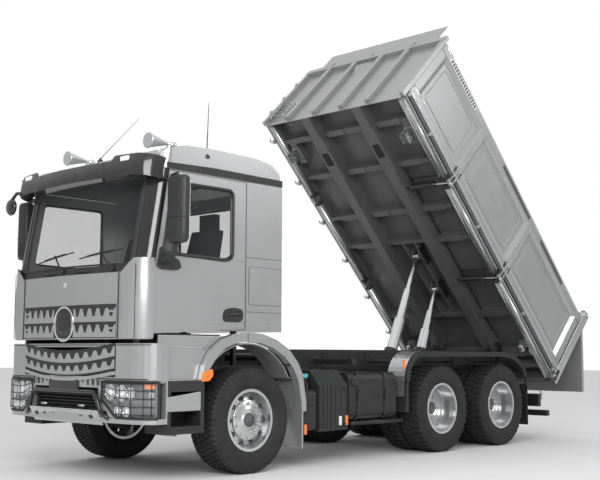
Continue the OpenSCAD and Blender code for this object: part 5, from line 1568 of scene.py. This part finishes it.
def add_underside():
    """Pads, brackets, flanges, eye plates and oil lines."""
    pads = Shape()
    for s in (-1, 1):
        pads.prism(rounded([(s * 395, 4262), (s * 505, 4262), (s * 505, 4470), (s * 395, 4470)], 12), "z",
                   -10, 2)
    pads.piece("beam_pads", "hose", "bed", BED, bevel=4)
    plates = Shape()
    for s in (-1, 1):
        plates.prism([(s * 366, 3990), (s * 534, 3990), (s * 546, 4060), (s * 546, 4640), (s * 534, 4710),
                      (s * 366, 4710),
                      (s * 354, 4640), (s * 354, 4060)], "z", -3, 50)
        for u in (4120, 4180, 4540, 4600):
            for x in (400, 500):
                plates.rod((s * x, u, 0), (s * x, u, -11), 12, n=6)
    plates.piece("beam_shoes", "underbody_silver", "bed", BED, bevel=5)
    balls = Shape()
    for s in (-1, 1):
        for dx in (-52, 44):
            balls.prism([(s * 1000 + dx, 4440), (s * 1000 + dx + 8, 4440), (s * 1000 + dx + 8, 4580),
                         (s * 1000 + dx, 4580)], "z", -78, 96)
        balls.box((s * 1000 - 58, 4430, 84), (s * 1000 + 58, 4590, 97))
        balls.rod((s * 1000 - 60, 4510, -40), (s * 1000 + 60, 4510, -40), 16)
        balls.prism([(4446, -10), (4574, -10), (4574, -2), (4446, -2)], "x", s * 1000 - 46, s * 1000 + 46)
    balls.piece("tip_brackets", "zinc", "bed", BED, bevel=2)
    stiffeners = Shape()
    for u in (330, 560, 1350, 2760, 3300, 4060, 4700):
        for s in (-1, 1):
            for x0, x1 in ((545, 930), (20, 350)):
                if u in (1350, 2760) and x0 == 20:
                    continue
                stiffeners.prism([(u - 30, 96), (u + 30, 96), (u + 44, 90), (u + 44, 84), (u - 44, 84),
                                  (u - 44, 90)],
                                 "x", s * x0, s * x1)
    stiffeners.piece("cross_member_flanges", "underbody_silver", "bed", BED, bevel=3)
    plates = Shape()
    for u in (2468, 1837):
        for s in (-1, 1):
            plates.box((s * 128 - 7, u - 150, 90), (s * 128 + 7, u + 150, 205))
            for du in (-110, -50, 50, 110):
                plates.rod((s * 121, u + du, 120), (s * 121 - s * 12, u + du, 120), 12, n=6)
                plates.rod((s * 121, u + du, 175), (s * 121 - s * 12, u + du, 175), 12, n=6)
    plates.piece("press_eye_plates", "chassis_black", "bed", BED, bevel=3)
    lines = Shape()
    for u in CRANK_U:
        for s in (-1, 1):
            lines.tube([(560, u + s * 64, 150), (700, u + s * 66, 158), (860, u + s * 66, 160),
                        (990, u + s * 66, 150)], 9)
    lines.tube([(548, u, 180) for u in spread(800, 3900, 20)], 11)
    lines.piece("bed_oil_lines", "hose", "bed", BED)
    sockets = Shape()
    for s in (-1, 1):
        sockets.lathe([(-40, 40), (-30, 62), (0, 72), (30, 62), (40, 40)], (s * 1010, 744, 40), "x", 32)
        sockets.box((s * 1010 - 60, 690, 90), (s * 1010 + 60, 800, 150))
        sockets.tube([(s * 1090, 700, 40), (s * 1120, 640, 20), (s * 1130, 560, 60)], 9)
    sockets.piece("rear_ball_sockets", "zinc", "bed", BED, bevel=3)


def add_front_wall_details():
    """Ribs, step, hooks, ladder and catches."""
    top = BED_WALL_H
    ribs = Shape()
    for x in (-780, -300, 180, 640):
        ribs.prism([(x - 46, 5070), (x - 40, BED_LEN + 4), (x + 40, BED_LEN + 4), (x + 46, 5070)], "z", 60,
                   top)
        ribs.prism([(x - 40, BED_LEN), (x - 40, BED_LEN + 4), (x + 40, BED_LEN + 4), (x + 40, BED_LEN)],
                   "z", 40, 62)
    ribs.prism([(-1245, top - 4), (-1245, top + 40), (1245, top + 40), (1245, top - 4)], "y", 5112, 5126)
    ribs.piece("front_wall_ribs", "bed_silver", "bed", BED, bevel=6)
    step = Shape()
    step.prism([(5068, 1010), (5068, 1180), (5116, 1180)], "x", -210, 90)
    step.piece("front_wall_step", "bed_silver", "bed", BED, bevel=3)
    hooks = Shape()
    for x in (-780, -60, 660):
        hooks.tube([(x, 5090, top + 60), (x, 5130, top + 72), (x + 30, 5134, top + 112),
                    (x + 54, 5100, top + 128)], 9)
        hooks.box((x - 22, 5076, top + 96), (x + 22, 5092, top + 130))
    hooks.piece("board_hooks", "zinc", "bed", BED, bevel=2)
    edge = Shape()
    line = [(x, 5084, w) for x, w in ((-1035, top + 96), (-1035, top + 468), (1035, top + 468),
                                      (1035, top + 96))]
    edge.tube(densify(line, 200, closed=False), 6)
    edge.piece("board_edge", "bed_silver", "bed", BED)
    ladder = Shape()
    for x in (-1150, -900):
        ladder.tube([(x, 5080, 120), (x, 5112, 130), (x + 10, 5118, 420), (x + 10, 5084, 440)], 10)
    for w in (160, 250, 340, 420):
        ladder.tube([(-1150, 5116, w), (-895, 5116, w)], 8)
    ladder.tube([(-1170, 5078, 460), (-1040, 5116, 500), (-900, 5078, 470)], 8)
    ladder.piece("folding_ladder", "zinc", "bed", BED)
    catches = Shape()
    for u in spread(320, 4780, 6):
        catches.box((-1262, u - 26, 30), (-1236, u + 26, 82))
        catches.tube([(-1250, u - 40, 52), (-1288, u - 10, 36), (-1292, u + 34, 20), (-1262, u + 60, 20)], 9)
        catches.rod((-1262, u, 60), (-1290, u, 60), 13)
    catches.piece("right_edge_catches", "zinc", "bed", BED, bevel=2)
    latches = Shape()
    for w in (260, 620, 980):
        latches.box((-1254, 5080, w - 30), (-1234, 5128, w + 30))
        latches.tube([(-1246, 5110, w + 10), (-1280, 5124, w + 40), (-1284, 5110, w + 90)], 9)
    latches.piece("right_front_latches", "zinc", "bed", BED, bevel=2)


def add_rear_of_bed():
    """Post covers and tailgate locks."""
    posts = Shape()
    for s in (-1, 1):
        posts.prism(rounded([(s * 1188, 2), (s * 1252, 2), (s * 1252, 150), (s * 1188, 150)], 10), "z", 34,
                    1440)
        posts.rod((s * 1246, 100, 1420), (s * 1268, 100, 1420), 44, n=32)
        posts.rod((s * 1246, 120, 90), (s * 1266, 120, 90), 30, n=32)
    posts.piece("rear_post_covers", "rim_silver", "bed", BED, bevel=5, slot="bed_silver")
    locks = Shape()
    for s in (-1, 1):
        locks.prism([(60, 40), (130, 40), (150, 110), (110, 230), (70, 230)], "x", s * 1252, s * 1264)
        locks.tube([(s * 1262, 96, 200), (s * 1266, 100, 130), (s * 1262, 118, 44)], 10)
    locks.piece("tailgate_locks", "black_plastic", "bed", BED, bevel=3)


def along(origin, axis, node):
    """The farthest reach of a CAD node along an axis, in metres."""
    return max((Vector(v.co) - origin).dot(axis) for v in frame["nodes"][node].data.vertices)


def add_press_collars():
    """Collars at the ends of each press stage."""
    for word in ("front", "rear"):
        origin = Vector(joints[f"{word}_press_swing"]["pos_m"])
        axis = Vector(joints[f"{word}_press_stage_1_slide"]["axis"]).normalized()
        side, up = frame_across(axis)
        turnto = Matrix((side, up, axis)).transposed().to_4x4()
        place = Matrix.Translation(origin) @ turnto @ Matrix.Scale(MM, 4)
        for node, r, finish in ((f"{word}_press_barrel", BARREL_R, "barrel_black"),
                                (f"{word}_press_stage_1", STAGE_1_R, "zinc"),
                                (f"{word}_press_stage_2", STAGE_2_R, "zinc")):
            end = along(origin, axis, node) / MM
            ring = Shape()
            if finish == "barrel_black":
                ring.lathe([(end - 46, r + 0.6), (end - 44, r + 5), (end - 8, r + 5), (end - 2, r + 2),
                            (end + 2, r - 8),
                            (end + 2, r - 14), (end - 46, r - 14), (end - 46, r + 0.6)], (0, 0, 0), "z",
                           64, caps=False)
            else:
                ring.lathe([(end - 1, r - 2), (end + 2, r - 3), (end + 3, r - 5), (end + 3, r - 14),
                            (end - 1, r - 14),
                            (end - 1, r - 2)], (0, 0, 0), "z", 64, caps=False)
            if finish == "barrel_black":
                ring.lathe([(120, r + 0.5), (122, r + 7), (158, r + 7), (160, r + 0.5), (120, r + 0.5)],
                           (0, 0, 0), "z", 64, caps=False)
                ring.rod((0, r, 40), (0, r + 46, 30), 16)
                ring.tube([(0, r + 44, 30), (10, r + 70, 0), (30, r + 72, -60)], 14)
            ring.piece(f"{node}_collar", finish, node, place)


def add_side_cylinder_details():
    """Glands, ports and hoses of the side cylinders."""
    axis = Vector(joints["side_cylinder_slide"]["axis"]).normalized()
    tilt = Vector((0, -math.cos(TILT), math.sin(TILT)))
    upward = tilt.cross(axis).normalized()
    turnto = Matrix((axis, tilt, upward)).transposed().to_4x4()
    for u in CRANK_U:
        start = BED @ Vector((SIDE_PIVOT_X, u, SIDE_PIVOT_W))
        place = Matrix.Translation(start) @ turnto @ Matrix.Scale(MM, 4)
        gland = Shape()
        gland.lathe([(404, SIDE_BARREL_R + 0.6), (406, 43), (432, 43), (438, 34), (438, 15.5)],
                    (0, 0, 0), "x", 40)
        gland.lathe([(26, 30), (28, 43), (52, 43), (54, SIDE_BARREL_R + 0.6)], (0, 0, 0), "x", 40)
        for x in (70, 380):
            gland.rod((x, 0, 36), (x, 0, 62), 13)
        gland.tube([(70, 0, 60), (110, 10, 74), (240, 16, 76), (340, 10, 74), (380, 0, 60)], 8)
        gland.piece(f"side_cylinder_gland_{u}", "barrel_black", "side_barrels", place)


# ---------------------------------------------------------------- the whole model

def build():
    """Every group of pieces, in order."""
    paint_cad()
    add_camera()
    add_stage()
    add_tyres()
    add_hubs()
    add_windscreen_surround()
    add_wipers()
    add_grille()
    add_corner_deflectors()
    add_door_details()
    add_cab_sides()
    add_roof_details()
    add_mirrors()
    add_lower_grille()
    add_headlights()
    add_bumper_details()
    add_steps()
    add_front_mudguard_trim()
    add_rail_fittings()
    add_side_boxes()
    add_fuel_tank_details()
    add_right_side_details()
    add_running_gear()
    add_engine_details()
    add_rear_mudguard_details()
    add_rear_end()
    add_visor()
    add_skirts()
    add_wall_panels()
    add_bed_edges()
    add_underside()
    add_front_wall_details()
    add_rear_of_bed()
    add_press_collars()
    add_side_cylinder_details()


build()
